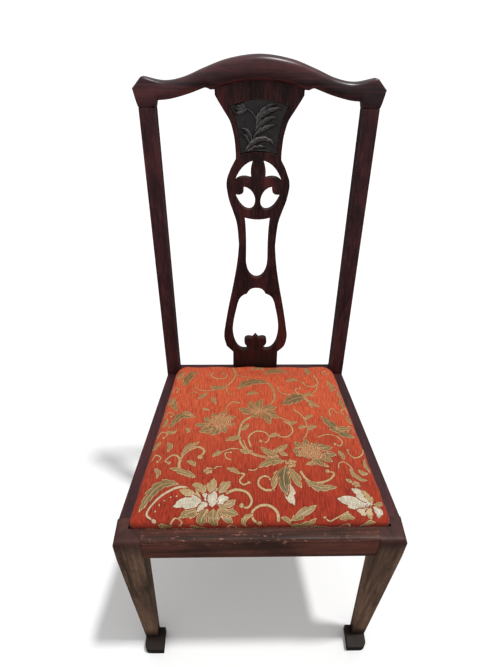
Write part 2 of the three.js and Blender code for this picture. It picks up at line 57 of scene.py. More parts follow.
def in_back(x, v, w):
    """Metres of a point of the leaning back given in mm: across, up along it, and into it."""
    y = BACK_START + (v * math.sin(RAKE) + w * math.cos(RAKE)) * MM
    z = SEAT_TOP + (v * math.cos(RAKE) - w * math.sin(RAKE)) * MM
    return x * MM, y, z


def in_seat(x, y, z):
    """Metres of a point given in mm with Y measured back from the front of the legs."""
    return x * MM, LEG_FRONT + y * MM, z * MM


# ---------------------------------------------------------------- camera
def make_camera():
    place = Vector((-34, -668, 1241)) * MM
    turned, down, roll = 1.53, 39.95, -0.89  # degrees: right of +Y, below level, about the view
    data = bpy.data.cameras.new("camera")
    data.lens = 27.7
    data.sensor_width = 36
    camera = bpy.data.objects.new("camera", data)
    yaw, pitch, tilt = math.radians(turned), math.radians(down), math.radians(roll)
    ahead = Vector((math.sin(yaw) * math.cos(pitch), math.cos(yaw) * math.cos(pitch), -math.sin(pitch)))
    right = Vector((math.cos(yaw), -math.sin(yaw), 0))
    lower = ahead.cross(right)
    across = right * math.cos(tilt) + lower * math.sin(tilt)
    up = right * math.sin(tilt) - lower * math.cos(tilt)
    axes = Matrix((across, up, -ahead)).transposed()
    camera.matrix_world = Matrix.Translation(place) @ axes.to_4x4()
    bpy.context.scene.collection.objects.link(camera)
    bpy.context.scene.camera = camera


make_camera()


# ---------------------------------------------------------------- material tools
class Recipe:
    """A material whose nodes are added one call at a time."""

    def __init__(self, name):
        self.material = bpy.data.materials.new(name)
        self.material.use_nodes = True
        self.tree = self.material.node_tree
        self.shader = self.tree.nodes["Principled BSDF"]
        self.place = self.node("ShaderNodeTexCoord").outputs["Object"]

    def node(self, kind, inputs=None, **settings):
        made = self.tree.nodes.new(kind)
        for key, value in settings.items():
            setattr(made, key, value)
        for key, value in (inputs or {}).items():
            self.feed(made.inputs[key], value)
        return made

    def feed(self, socket, value):
        if isinstance(value, bpy.types.NodeSocket):
            self.tree.links.new(value, socket)
        elif isinstance(value, tuple) and len(value) == 3 and socket.type == "RGBA":
            socket.default_value = (*value, 1)
        else:
            socket.default_value = value

    def stretched(self, scale, shift=(0, 0, 0)):
        inputs = {"Vector": self.place, "Scale": scale, "Location": shift}
        return self.node("ShaderNodeMapping", inputs).outputs["Vector"]

    def noise(self, scale, shift=(0, 0, 0), detail=4.0, rough=0.5, warp=0.0):
        """0..1, with scale features to a unit of the place (m or mm) along x, y and z"""
        inputs = {"Vector": self.stretched(scale, shift), "Scale": 1.0}
        inputs.update({"Detail": detail, "Roughness": rough, "Distortion": warp})
        return self.node("ShaderNodeTexNoise", inputs).outputs["Fac"]

    def ramp(self, value, stops):
        made = self.node("ShaderNodeValToRGB", {"Fac": value})
        elements = made.color_ramp.elements
        while len(elements) < len(stops):
            elements.new(1)
        for element, (position, colour) in zip(elements, stops):
            element.position = position
            element.color = (*colour, 1)
        return made.outputs["Color"]

    def span(self, value, low, high, start=0.0, end=1.0):
        """value carried smoothly from low..high to start..end and held beyond them"""
        if low > high:
            low, high, start, end = high, low, end, start
        inputs = {"Value": value, "From Min": low, "From Max": high, "To Min": start, "To Max": end}
        made = self.node("ShaderNodeMapRange", inputs, interpolation_type="SMOOTHSTEP")
        return made.outputs["Result"]

    def maths(self, operation, first, second=0.0):
        made = self.node("ShaderNodeMath", operation=operation)
        self.feed(made.inputs[0], first)
        self.feed(made.inputs[1], second)
        return made.outputs["Value"]

    def mix(self, factor, first, second, blend="MIX"):
        made = self.node("ShaderNodeMix", data_type="RGBA", blend_type=blend)
        for index, value in ((0, factor), (6, first), (7, second)):
            self.feed(made.inputs[index], value)
        return made.outputs[2]

    def attribute(self, name):
        return self.node("ShaderNodeAttribute", attribute_name=name).outputs["Fac"]

    def height(self):
        """World height at rest"""
        return self.node("ShaderNodeSeparateXYZ", {"Vector": self.place}).outputs["Z"]

    def edges(self, radius):
        """0 on flat faces, rising to 1 at outward edges nearer than radius"""
        rounded = self.node("ShaderNodeBevel", {"Radius": radius}, samples=4).outputs["Normal"]
        flat = self.node("ShaderNodeNewGeometry").outputs["Normal"]
        dot = self.node("ShaderNodeVectorMath", operation="DOT_PRODUCT")
        self.feed(dot.inputs[0], rounded)
        self.feed(dot.inputs[1], flat)
        return self.span(dot.outputs["Value"], 0.995, 0.86, 0.0, 1.0)

    def crevices(self, reach):
        """1 in the open, falling towards 0 in corners and joints"""
        made = self.node("ShaderNodeAmbientOcclusion", {"Distance": reach}, samples=4)
        return made.outputs["AO"]

    def bump(self, *layers):
        """layers of (height, distance in metres, strength)"""
        normal = None
        for height, distance, strength in layers:
            inputs = {"Height": height, "Distance": distance, "Strength": strength}
            if normal is not None:
                inputs["Normal"] = normal
            normal = self.node("ShaderNodeBump", inputs).outputs["Normal"]
        return normal

    def finish(self, colour, roughness, normal=None, **fixed):
        self.feed(self.shader.inputs["Base Color"], colour)
        self.feed(self.shader.inputs["Roughness"], roughness)
        if normal is not None:
            self.feed(self.shader.inputs["Normal"], normal)
        for name, value in fixed.items():
            self.feed(self.shader.inputs[name.replace("_", " ")], value)
        return self.material


def grained(grain, across, along):
    """Scale per axis for features that are fine across the grain and long along it."""
    return tuple(along if axis == grain else across for axis in "xyz")


WORN = (0.17, 0.058, 0.030)


def mahogany(name, grain, middle, warm, shift, dirt_and_shade=0.5, gloss=0.5, worn_tone=WORN,
             low=None, high=None, chipped=None):
    """Old dark-stained and polished mahogany with its grain along x, y or z. low darkens it
    below a height (on the splat, painted shade at its foot) and high gives it another tone above one:
    (from, to, share or tone). The polish is chipped in specks above the height chipped (from, to). Corners
    and joints darken with painted shade and grime, as far as the share given for them."""
    made = Recipe(name)
    offset = (shift, shift * 1.7, shift * 0.6)
    figure = made.noise(grained(grain, 34, 2.4), offset, detail=5, rough=0.6, warp=0.5)
    streak = made.noise(grained(grain, 260, 7), offset, detail=4, rough=0.6)
    pores = made.noise(grained(grain, 1500, 45), offset, detail=2, rough=0.5)
    mottle = made.noise((16, 16, 16), offset, detail=5, rough=0.6)
    scuffs = made.noise((90, 90, 90), offset, detail=6, rough=0.7)

    dark = tuple(0.36 * part for part in middle)
    tone = made.ramp(figure, [(0.30, dark), (0.50, middle), (0.72, warm)])
    tone = made.mix(made.span(streak, 0.46, 0.72, 0.0, 0.55), tone, warm)
    tone = made.mix(made.span(streak, 0.52, 0.26, 0.0, 0.6), tone, dark)
    tone = made.mix(made.span(pores, 0.44, 0.30, 0.0, 0.75), tone, (0.004, 0.002, 0.002))
    tone = made.mix(made.span(mottle, 0.50, 0.34, 0.0, 0.45), tone, dark)
    outward = made.node("ShaderNodeNewGeometry").outputs["Normal"]
    facing = made.node("ShaderNodeSeparateXYZ", {"Vector": outward})
    upward = made.span(facing.outputs["Z"], -0.35, 0.35)
    worn = made.maths("MULTIPLY", made.edges(2.6 * MM), made.span(scuffs, 0.42, 0.62, 0.05, 1.0))
    worn = made.maths("MULTIPLY", worn, made.maths("MULTIPLY", upward, 0.6))
    tone = made.mix(worn, tone, worn_tone)
    if chipped:
        specks = made.noise(grained(grain, 230, 70), offset, detail=4, rough=0.75)
        chips = made.maths("MULTIPLY", made.span(made.height(), *chipped), made.span(specks, 0.60, 0.66))
        tone = made.mix(made.maths("MULTIPLY", chips, 0.75), tone, worn_tone)
    # Painted shade with grime: darker towards near black where the occlusion mask finds corners and joints
    grime_and_shade = made.span(made.crevices(16 * MM), 0.25, 0.85, dirt_and_shade, 0.0)
    tone = made.mix(grime_and_shade, tone, (0.006, 0.0035, 0.003))
    if high:
        start, end, upper = high
        upper = made.ramp(figure, [(0.30, tuple(0.3 * part for part in upper)), (0.68, upper)])
        tone = made.mix(made.span(made.height(), start, end), tone, upper)
    # Darker towards the bottom: on the splat this is painted shade on its foot behind the cushion, and on
    # the legs it darkens the feet
    if low:
        start, end, share = low
        tone = made.mix(made.span(made.height(), start, end, share, 0.0), tone, (0.010, 0.006, 0.0055))

    roughness = made.span(mottle, 0.3, 0.7, 0.60 - 0.30 * gloss, 0.46 - 0.24 * gloss)
    roughness = made.maths("ADD", roughness, made.span(scuffs, 0.5, 0.75, 0.0, 0.16))
    normal = made.bump((pores, 0.06 * MM, 0.5), (streak, 0.10 * MM, 0.5), (mottle, 0.5 * MM, 0.5))
    return made.finish(tone, roughness, normal, IOR=1.5, Specular_IOR_Level=0.15 + 0.40 * gloss,
                       Coat_Weight=0.12 * gloss, Coat_Roughness=0.22)


def ebonised(name):
    """The blackened ground and worn relief of the carved panel, with a painted highlight on the raised
    crests and painted shade in the creases.
    """
    made = Recipe(name)
    raised = made.attribute("relief")
    patch = made.noise((120, 120, 120), detail=5, rough=0.65)
    fine = made.noise((900, 900, 900), detail=3, rough=0.6)
    tone = made.ramp(patch, [(0.3, (0.0110, 0.0085, 0.0085)), (0.7, (0.0270, 0.0215, 0.0215))])
    # Crests lighter with their height: partly wear, partly a painted highlight for the gloss the crests
    # catch from overhead
    worn = made.maths("MULTIPLY", made.span(raised, 0.65, 1.40), made.span(patch, 0.35, 0.62, 0.4, 1.0))
    tone = made.mix(worn, tone, (0.135, 0.120, 0.120))
    # Painted shade: near black in the creases that the occlusion mask finds
    tone = made.mix(made.span(made.crevices(8 * MM), 0.50, 0.90, 1.0, 0.0), tone, (0.002, 0.0015, 0.0015))
    tone = made.mix(made.span(fine, 0.62, 0.78, 0.0, 0.25), tone, (0.07, 0.035, 0.025))
    roughness = made.span(patch, 0.3, 0.7, 0.30, 0.46)
    normal = made.bump((fine, 0.08 * MM, 0.6), (patch, 0.25 * MM, 0.5))
    return made.finish(tone, roughness, normal, Specular_IOR_Level=0.45, Coat_Weight=0.2,
                       Coat_Roughness=0.2)


def bare_wood(name, grain, shift=0.0):
    """Unpolished secondary wood: pale brown, dusty, with a fine open grain, and painted shade with grime in
    its corners.
    """
    made = Recipe(name)
    offset = (shift, shift, shift)
    figure = made.noise(grained(grain, 60, 5), offset, detail=5, rough=0.6, warp=0.4)
    fleck = made.noise(grained(grain, 900, 120), offset, detail=3, rough=0.6)
    stain = made.noise((22, 22, 22), offset, detail=5, rough=0.65)
    pale, middle, brown = (0.38, 0.25, 0.145), (0.30, 0.185, 0.10), (0.19, 0.105, 0.052)
    tone = made.ramp(figure, [(0.32, brown), (0.52, middle), (0.72, pale)])
    tone = made.mix(made.span(fleck, 0.48, 0.32, 0.0, 0.6), tone, (0.13, 0.07, 0.035))
    tone = made.mix(made.span(stain, 0.52, 0.34, 0.0, 0.6), tone, (0.11, 0.065, 0.038))
    # Painted shade with grime: darker where the occlusion mask finds corners and joints
    grime_and_shade = made.span(made.crevices(14 * MM), 0.3, 0.9, 0.6, 0.0)
    tone = made.mix(grime_and_shade, tone, (0.05, 0.03, 0.02))
    roughness = made.span(stain, 0.3, 0.7, 0.62, 0.82)
    normal = made.bump((fleck, 0.12 * MM, 0.7), (figure, 0.3 * MM, 0.5))
    return made.finish(tone, roughness, normal)


def steel(name):
    """Dull screw heads with a little rust."""
    made = Recipe(name)
    patch = made.noise((400, 400, 400), detail=5, rough=0.65)
    fine = made.noise((2500, 2500, 2500), detail=2)
    rusty, dull, bright = (0.20, 0.13, 0.09), (0.36, 0.34, 0.31), (0.52, 0.50, 0.47)
    tone = made.ramp(patch, [(0.35, rusty), (0.5, dull), (0.7, bright)])
    roughness = made.span(patch, 0.35, 0.65, 0.62, 0.34)
    normal = made.bump((fine, 0.05 * MM, 0.6), (patch, 0.15 * MM, 0.5))
    return made.finish(tone, roughness, normal, Metallic=0.9)


def weave_of(made, pitch):
    """Plain weave in plan: 1 on the crown of each thread, 0 between threads."""
    place = made.node("ShaderNodeSeparateXYZ", {"Vector": made.stretched((1 / pitch,) * 3)})
    ridges = []
    for axis, other in (("X", "Y"), ("Y", "X")):
        thread = made.maths("SINE", made.maths("MULTIPLY", place.outputs[axis], math.pi))
        over = made.maths("SINE", made.maths("MULTIPLY", place.outputs[other], math.pi))
        ridges.append(made.maths("MULTIPLY", made.maths("ABSOLUTE", thread), made.maths("ABSOLUTE", over)))
    return made.maths("MAXIMUM", ridges[0], ridges[1])


def jute(name, pitch, pale, brown):
    """Coarse plant-fibre cloth or webbing."""
    made = Recipe(name)
    threads = weave_of(made, pitch)
    patch = made.noise((45, 45, 45), detail=5, rough=0.6)
    hair = made.noise((1400, 300, 1400), detail=3, rough=0.7)
    tone = made.mix(made.span(threads, 0.1, 0.8), brown, pale)
    tone = made.mix(made.span(patch, 0.6, 0.35, 0.0, 0.5), tone, brown)
    tone = made.mix(made.span(hair, 0.5, 0.7, 0.0, 0.35), tone, (0.42, 0.33, 0.20))
    normal = made.bump((hair, 0.1 * MM, 0.6), (threads, 0.5 * MM, 0.9))
    return made.finish(tone, made.span(patch, 0.3, 0.7, 0.86, 0.95), normal, Sheen_Weight=0.15)


# ---------------------------------------------------------------- mesh tools
def new_piece(name, verts, faces, material, body):
    mesh = bpy.data.meshes.new(name)
    mesh.from_pydata(verts, [], faces)
    mesh.materials.append(material)
    for face in mesh.polygons:
        face.use_smooth = True
    piece = bpy.data.objects.new(name, mesh)
    bpy.context.scene.collection.objects.link(piece)
    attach(piece, body)
    return piece


def loft_faces(rings, around):
    """Faces of a closed tube made of rings of points, with both ends filled."""
    faces = []
    for i in range(rings - 1):
        for j in range(around):
            k = (j + 1) % around
            faces.append((i * around + j, i * around + k, (i + 1) * around + k, (i + 1) * around + j))
    last = (rings - 1) * around
    faces.append(tuple(reversed(range(around))))
    faces.append(tuple(range(last, last + around)))
    return faces


def grid_faces(columns, rows):
    faces = []
    for i in range(rows - 1):
        for j in range(columns - 1):
            a = i * columns + j
            faces.append((a, a + 1, a + columns + 1, a + columns))
    return faces


def grid_rim(columns, rows):
    """Indices of the points round the edge of a grid, in order"""
    rim = list(range(columns))
    rim += [i * columns + columns - 1 for i in range(1, rows)]
    rim += [(rows - 1) * columns + j for j in range(columns - 2, -1, -1)]
    rim += [i * columns for i in range(rows - 2, 0, -1)]
    return rim


def curve_through(points, steps=12):
    """A smooth open line through points (Catmull-Rom)."""
    points = np.array(points, float)
    if len(points) == 2:
        return np.linspace(points[0], points[1], steps)
    padded = np.vstack([2 * points[0] - points[1], points, 2 * points[-1] - points[-2]])
    path = []
    for a, b, c, d in zip(padded, padded[1:], padded[2:], padded[3:]):
        for t in np.linspace(0, 1, steps, endpoint=False):
            path.append(0.5 * (2 * b + (c - a) * t + (2 * a - 5 * b + 4 * c - d) * t ** 2
                               + (3 * b - a - 3 * c + d) * t ** 3))
    path.append(points[-1])
    return np.array(path)


# ---------------------------------------------------------------- crest rail
CREST_TOP = [(0, 617), (50, 610.5), (90, 597), (125, 583), (157, 577.5), (192.5, 584)]
CREST_UNDER = [(87, 567.5), (91, 567.5), (118, 558), (148, 550.5), (169.8, 548.5)]
CREST_DEPTH = 26.5
CREST_SWELL = 6  # how far the front bows out over the splat
ARCH = {"middle": 579, "rise": 13.6, "end": 74}  # underside over the splat
NOTCH = [(74, 565.4), (81, 564.8), (87, 567.5)]  # underside from the arch to the serpentine
POST_TOP = 538
EAR = {"tip": 207.5, "tip_height": 567, "outer": 199.7, "inner": 172, "step": 169.8, "edge": 0.3}
crest_top_line = curve_through([(-50, 610.5)] + CREST_TOP, 24)
crest_under_line = curve_through(CREST_UNDER, 24)


def crest_limits(x):
    """Top, underside and foremost point of the crest rail at a distance x from its middle."""
    x = abs(x)
    if x <= CREST_TOP[-1][0]:
        top = np.interp(x, crest_top_line[:, 0], crest_top_line[:, 1])
    else:
        last_x, last_top = CREST_TOP[-1]
        top = np.interp(x, [last_x, EAR["tip"]], [last_top, EAR["tip_height"] + EAR["edge"]])
    if x <= ARCH["end"]:
        low = ARCH["middle"] - ARCH["rise"] * (x / ARCH["end"]) ** 2
    elif x <= NOTCH[-1][0]:
        low = np.interp(x, *np.transpose(NOTCH))
    elif x <= EAR["step"]:
        low = np.interp(x, crest_under_line[:, 0], crest_under_line[:, 1])
    elif x <= EAR["outer"]:
        low = np.interp(x, [EAR["step"], EAR["inner"]], [CREST_UNDER[-1][1], POST_TOP])
    else:
        share = (x - EAR["outer"]) / (EAR["tip"] - EAR["outer"])
        low = POST_TOP + (EAR["tip_height"] - EAR["edge"] - POST_TOP) * share ** 1.5
    swell = max(0.0, 1 - (x / 120) ** 2) ** 1.5
    return top, low, -CREST_SWELL * swell


def crest_section(x):
    """Closed outline of the crest rail at x: rounded edges and a front face that bows out."""
    top, low, front = crest_limits(x)
    middle = max(0.0, 1 - (abs(x) / 185) ** 4)  # 1 over the splat, 0 at the ears
    crown = 1.2 + 2.0 * middle
    front += crown
    height = top - low
    radii = {
        "rear low": 1.5, "front low": 1.0 + 7.0 * middle,
        "front high": 3.5 + 5.5 * middle, "rear high": 4.0,
    }
    corners = [
        ("rear low", CREST_DEPTH, low, 0, -90), ("front low", front, low, -90, -180),
        ("front high", front, top, 180, 90), ("rear high", CREST_DEPTH, top, 90, 0),
    ]
    outline = []
    for name, w, v, start, end in corners:
        r = min(radii[name], 0.45 * height)
        cw = w - r if w == CREST_DEPTH else w + r
        cv = v + r if v == low else v - r
        for angle in np.radians(np.linspace(start, end, 7)):
            outline.append([cw + r * math.cos(angle), cv + r * math.sin(angle)])
        if name == "front low":
            lowest, highest = cv, top - min(radii["front high"], 0.45 * height)
            for share in (0.2, 0.4, 0.6, 0.8):
                outline.append([front, lowest + (highest - lowest) * share])
    for point in outline:
        share = np.clip((point[1] - low) / max(height, 0.01), 0, 1)
        if point[0] < front + 6:
            point[0] -= crown * (1 - (2 * share - 1) ** 2)
    return outline


def make_crest(material):
    notch_end = NOTCH[-1][0]
    steps = np.concatenate([
        np.linspace(0, ARCH["end"], 26), [77.5, 81, 84],
        np.linspace(notch_end, EAR["step"], 30), [170.5, 171.3],
        np.linspace(EAR["inner"], EAR["outer"], 10), np.linspace(EAR["outer"] + 0.7, EAR["tip"], 9),
    ])
    stations = np.concatenate([-steps[:0:-1], steps])
    verts = []
    for x in stations:
        verts += [in_back(x, v, w) for w, v in crest_section(x)]
    around = len(verts) // len(stations)
    faces = loft_faces(len(stations), around)
    crest = new_piece("crest_rail_shaped", verts, faces, material, "chair_frame")
    crest.data.set_sharp_from_angle(angle=math.radians(40))
    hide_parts("crest_rail")


# ---------------------------------------------------------------- drawing with soft strokes
class Drawing:
    """Strokes laid over a set of points (mm), measured by how near each point is to a line."""

    def __init__(self, x, y):
        self.x = np.asarray(x, float)
        self.y = np.asarray(y, float)

    def along(self, line, reach):
        """Indices of points within reach of a line, their distance from it, the share of the
        line's length at the nearest place, and which side they are on."""
        low, high = line.min(axis=0) - reach, line.max(axis=0) + reach
        inside = (self.x > low[0]) & (self.x < high[0]) & (self.y > low[1]) & (self.y < high[1])
        index = np.nonzero(inside)[0]
        if not len(index):
            return index, np.empty(0), np.empty(0), np.empty(0)
        px, py = self.x[index, None], self.y[index, None]
        start, step = line[:-1], np.diff(line, axis=0)
        length = np.hypot(step[:, 0], step[:, 1])
        travelled = np.concatenate([[0], np.cumsum(length)])
        dx, dy = px - start[:, 0], py - start[:, 1]
        share = np.clip((dx * step[:, 0] + dy * step[:, 1]) / (length ** 2 + 1e-9), 0, 1)
        away = np.hypot(dx - share * step[:, 0], dy - share * step[:, 1])
        nearest = away.argmin(axis=1)
        rows = np.arange(len(index))
        part = (travelled[nearest] + share[rows, nearest] * length[nearest]) / travelled[-1]
        side = np.sign(step[nearest, 0] * dy[rows, nearest] - step[nearest, 1] * dx[rows, nearest])
        return index, away[rows, nearest], part, side


# ---------------------------------------------------------------- carved panel at the top of the splat
PANEL = {"top": 539.5, "top_arch": 11.2, "bottom": 461, "bottom_arch": 5.5, "floor": 14.5}


PANEL_SIDE = [(461, 32.5), (485, 34.8), (510, 39.3), (526, 44.2), (539.5, 50.5)]


def panel_side(v):
    """Half width of the panel at height v"""
    sweep = curve_through(PANEL_SIDE)
    return np.interp(v, sweep[:, 0], sweep[:, 1])


# Leaves of the spray: (points from root to tip, half width, height, feathering, and which side
# of the line is rolled up: 1 left, -1 right, 0 neither)
SPRAY = [
    ([(-27, 461), (-21, 471), (-13, 484), (-6, 494), (-4, 506)], 2.0, 2.4, 0, 0),
    ([(-4, 504), (-3, 513), (-6, 522), (-12, 530), (-21, 536), (-29, 536)], 1.9, 2.6, 0, 0),
    ([(-4, 507), (-2, 515), (1, 525), (9, 535), (18, 541), (28, 543)], 5.0, 3.0, 4, 1),
    ([(-1, 514), (5, 525), (16, 532), (27, 536), (39, 536)], 4.8, 3.3, 4, 1),
    ([(-5, 502), (2, 510), (10, 517), (20, 522), (30, 522)], 4.8, 3.4, 4, 1),
    ([(-8, 492), (2, 501), (14, 507), (30, 511)], 4.6, 3.2, 4, 1),
    ([(-13, 486), (-18, 496), (-25, 503), (-33, 504)], 4.2, 2.8, 3, -1),
    ([(-17, 479), (-22, 490), (-31, 497)], 3.4, 2.4, 3, -1),
    ([(-22, 468), (-13, 479), (-2, 486), (9, 488), (20, 484), (26, 476)], 5.0, 3.3, 5, 1),
    ([(-22, 463), (-10, 472), (2, 475), (14, 473)], 3.4, 2.7, 3, 1),
    ([(-26, 460), (-12, 466), (2, 468), (16, 465), (28, 460)], 2.4, 2.4, 0, 0),
    ([(-23, 536), (-26, 541), (-32, 546)], 3.0, 3.0, 0, 1),
    ([(-22, 535), (-31, 539), (-41, 543)], 3.0, 3.2, 0, 1),
    ([(-24, 534), (-33, 534), (-43, 537)], 2.8, 3.4, 0, -1),
    ([(-22, 533), (-31, 530), (-42, 528)], 3.4, 3.4, 0, -1),
]


def carved_height(x, v):
    """Height of the carving over the panel's floor, with a lightly tooled ground."""
    drawing = Drawing(x, v)
    height = 0.16 * (1 + np.sin(x * 1.9 + 2.1 * np.sin(v * 0.7)) * np.sin(v * 2.1 + 1.3 * np.sin(x * 0.9)))
    for points, half, tall, lobes, rolled in SPRAY:
        line = curve_through(points)
        index, away, part, side = drawing.along(line, half + 1)
        taper = np.clip(np.sin(math.pi * np.clip(part, 0.05, 0.98) ** 0.8), 0, 1) ** 0.55
        width = 1.15 * half * taper if half > 2.5 else np.full(len(part), half)
        if lobes:
            width = width * (0.78 + 0.28 * np.abs(np.sin(math.pi * (lobes * part + 0.2 * side))))
        share = np.clip(away / np.maximum(width, 0.01), 0, 1)
        bulge = np.sqrt(1 - share ** 2) * (1 + 0.55 * rolled * side * share)
        groove = 0.30 * np.exp(-((share - 0.15) / 0.16) ** 2) if rolled else 0
        ribs = 0.10 * np.sin(part * lobes * 9 - share * 5) if lobes else 0
        raised = 1.35 * tall * bulge * (1 - groove) * (1 + ribs) * (0.55 + 0.45 * taper)
        height[index] = np.maximum(height[index], raised)
    return height


def closed_relief(name, x, v, w, back, material):
    """A closed slab of the leaning back: grids x and v, front face at depth w, flat back."""
    rows, columns = x.shape
    verts = [in_back(*p) for p in zip(x.ravel(), v.ravel(), w.ravel())]
    verts += [in_back(px, pv, back) for px, pv in zip(x.ravel(), v.ravel())]
    under = rows * columns
    faces = []
    for face in grid_faces(columns, rows):
        faces.append(face)
        faces.append(tuple(under + k for k in reversed(face)))
    rim = grid_rim(columns, rows)
    for a, b in zip(rim, rim[1:] + rim[:1]):
        faces.append((b, a, under + a, under + b))
    return new_piece(name, verts, faces, material, "chair_frame")


def set_attribute(piece, name, values):
    attribute = piece.data.attributes.new(name, "FLOAT", "POINT")
    attribute.data.foreach_set("value", np.asarray(values, np.float32))


def make_carving(material):
    """The carved relief that fills the sunk panel. Its attribute relief is 1 at a height of 3 mm."""
    inset = 0.5
    front, back = PANEL["floor"] - 0.4, PANEL["floor"] - 0.1
    across, up = np.meshgrid(np.linspace(-1, 1, 150), np.linspace(0, 1, 140))
    low = PANEL["bottom"] + PANEL["bottom_arch"] * (1 - across ** 2) + inset
    high = PANEL["top"] + PANEL["top_arch"] * (1 - across ** 2) - inset
    v = low + (high - low) * up
    x = across * (panel_side(PANEL["bottom"] + (PANEL["top"] - PANEL["bottom"]) * up) - inset)
    height = carved_height(x.ravel(), v.ravel()).reshape(x.shape)
    edge = np.minimum(np.minimum(up, 1 - up) * 80, (1 - np.abs(across)) * 40)
    height = height * np.clip(edge / 2, 0, 1)
    carving = closed_relief("panel_carving", x, v, front - height, back, material)
    flat = np.concatenate([height.ravel(), np.zeros(height.size)])
    set_attribute(carving, "relief", flat / 3)


# ---------------------------------------------------------------- wood kept from the frame
def soften(node, width, segments=3):
    """Rounded arrises on a node of the frame"""
    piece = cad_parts[node]
    bevel = piece.modifiers.new("arris", "BEVEL")
    bevel.width = width * MM
    bevel.segments = segments
    bevel.limit_method = "ANGLE"
    bevel.angle_limit = math.radians(40)
    bevel.harden_normals = True


def dress(nodes, material, width=0.0, segments=3):
    """A material for nodes of the frame, and arrises of the given width if there is one"""
    for node in nodes:
        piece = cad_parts[node]
        for index in range(len(piece.material_slots)):
            piece.material_slots[index].material = material
        if width:
            soften(node, width, segments)


CRIMSON = {"middle": (0.036, 0.0080, 0.0105), "warm": (0.095, 0.0175, 0.0190)}
RUBY = {"middle": (0.025, 0.0045, 0.0052), "warm": (0.100, 0.0140, 0.0120)}
WALNUT = {"middle": (0.115, 0.0600, 0.0350), "warm": (0.240, 0.1300, 0.0720)}
RUSSET = {"middle": (0.054, 0.0185, 0.0115), "warm": (0.150, 0.0400, 0.0230)}
LEG_ENDS = {"low": (0.022, 0.07, 0.93), "high": (0.405, 0.450, (0.085, 0.030, 0.024))}


def keep_frame_wood():
    for name, shift in (("left", 2.1), ("right", 5.4)):
        post = mahogany(f"mahogany_post_{name}", "z", **CRIMSON, shift=shift, dirt_and_shade=0.4, gloss=0.35)
        dress([f"back_post_{name}"], post, 2.0)
        leg = mahogany(f"mahogany_leg_{name}", "z", **WALNUT, shift=shift + 1, gloss=0.15, **LEG_ENDS)
        dress([f"front_leg_{name}"], leg, 2.2)
        rail = mahogany(f"mahogany_side_{name}", "y", **CRIMSON, shift=shift + 2, dirt_and_shade=0.4, gloss=0.3)
        dress([f"side_rail_{name}"], rail, 2.0)
    front = mahogany("mahogany_front_rail", "x", **RUSSET, shift=3.3, dirt_and_shade=0.4, gloss=0.15,
                     worn_tone=(0.42, 0.17, 0.12), chipped=(0.436, 0.444))
    dress(["front_rail"], front, 1.2)
    dress(["rear_rail"], mahogany("mahogany_rear_rail", "x", **CRIMSON, shift=4.2, gloss=0.3), 2.0)
    # low paints shade on the foot of the splat, which sits dark behind the cushion
    splat = mahogany("mahogany_splat", "z", **RUBY, shift=7.7, dirt_and_shade=0.4, gloss=0.25, low=(0.46, 0.51, 0.85))
    dress(["back_splat"], splat, 1.3, 2)


def keep_underside():
    for index, side in enumerate(("left", "right")):
        blocks = [f"corner_block_{end}_{side}" for end in ("front", "rear")]
        dress(blocks, bare_wood(f"block_wood_{side}", "x", shift=index + 0.5), 0.8, 2)
        screws = [f"block_screw_{end}_{side}_{n}" for end in ("front", "rear") for n in (1, 2)]
        dress(screws, steel(f"screw_steel_{side}"))
    for end in ("front", "rear"):
        dress([f"seat_frame_{end}"], bare_wood(f"seat_frame_wood_{end}", "x", shift=len(end)), 1.0, 2)
    for side in ("left", "right"):
        dress([f"seat_frame_{side}"], bare_wood(f"seat_frame_wood_{side}", "y", shift=len(side)), 1.0, 2)
    webbing = jute("jute_webbing", 2.2 * MM, (0.36, 0.27, 0.15), (0.17, 0.11, 0.055))
    dress([f"webbing_{way}_{n}" for way in ("long", "cross") for n in (1, 2, 3)], webbing)


keep_frame_wood()
keep_underside()
make_crest(mahogany("mahogany_crest", "x", **CRIMSON, shift=1.3, dirt_and_shade=0.35, gloss=0.8,
                    worn_tone=(0.36, 0.14, 0.085)))
make_carving(ebonised("ebonised_mahogany"))


# ---------------------------------------------------------------- seat cushion
# Plan: front and rear edges, the middle and reach of its crown, and corners as a share of the half
# size. Height: the rounded edge's radius, the foot of the cover, the top at the edge and the crown.
PAD = {
    "front": 26.6, "rear": 397.9, "middle": 212, "reach": 173, "front_corner": 0.055,
    "rear_corner": 0.12, "soft": 13, "low": 440.6, "edge_top": 468.5, "crown": 6.0,
}
# The side rails: half width over them behind the leg blocks, how fast they close in, the width of
# their lip with its clearance, and their slanting length for each mm of depth
SIDES = {"half": 236, "start": 45.3, "taper": 0.1332, "lip": 20.6, "slant": 1.0088}
COVER_HELD = 454  # the cover is held still below this height
SWELL_LIMIT = 6.0  # furthest that the stuffing pushes it out
# Rings of the cushion's underside (inset, share of that size, height): down the inside of the
# turned-down cover, over the top of the slip frame and across the webbing
UNDERSIDE = [
    (2.0, 1, 440.6), (2.0, 1, 456.2), (12, 1, 456.6),
    (18, 1, 460.3), (18, 0.6, 460.3), (18, 0.15, 460.3),
]
TOP_SHARE = 0.875  # share of the grid that lies on the top, inside the rounded edge


def half_seat(y, inset=0.0):
    """Half width of the seat recess at y, set in from its sides."""
    outer = SIDES["half"] - (y - SIDES["start"]) * SIDES["taper"]
    return outer - (SIDES["lip"] + inset) * SIDES["slant"]


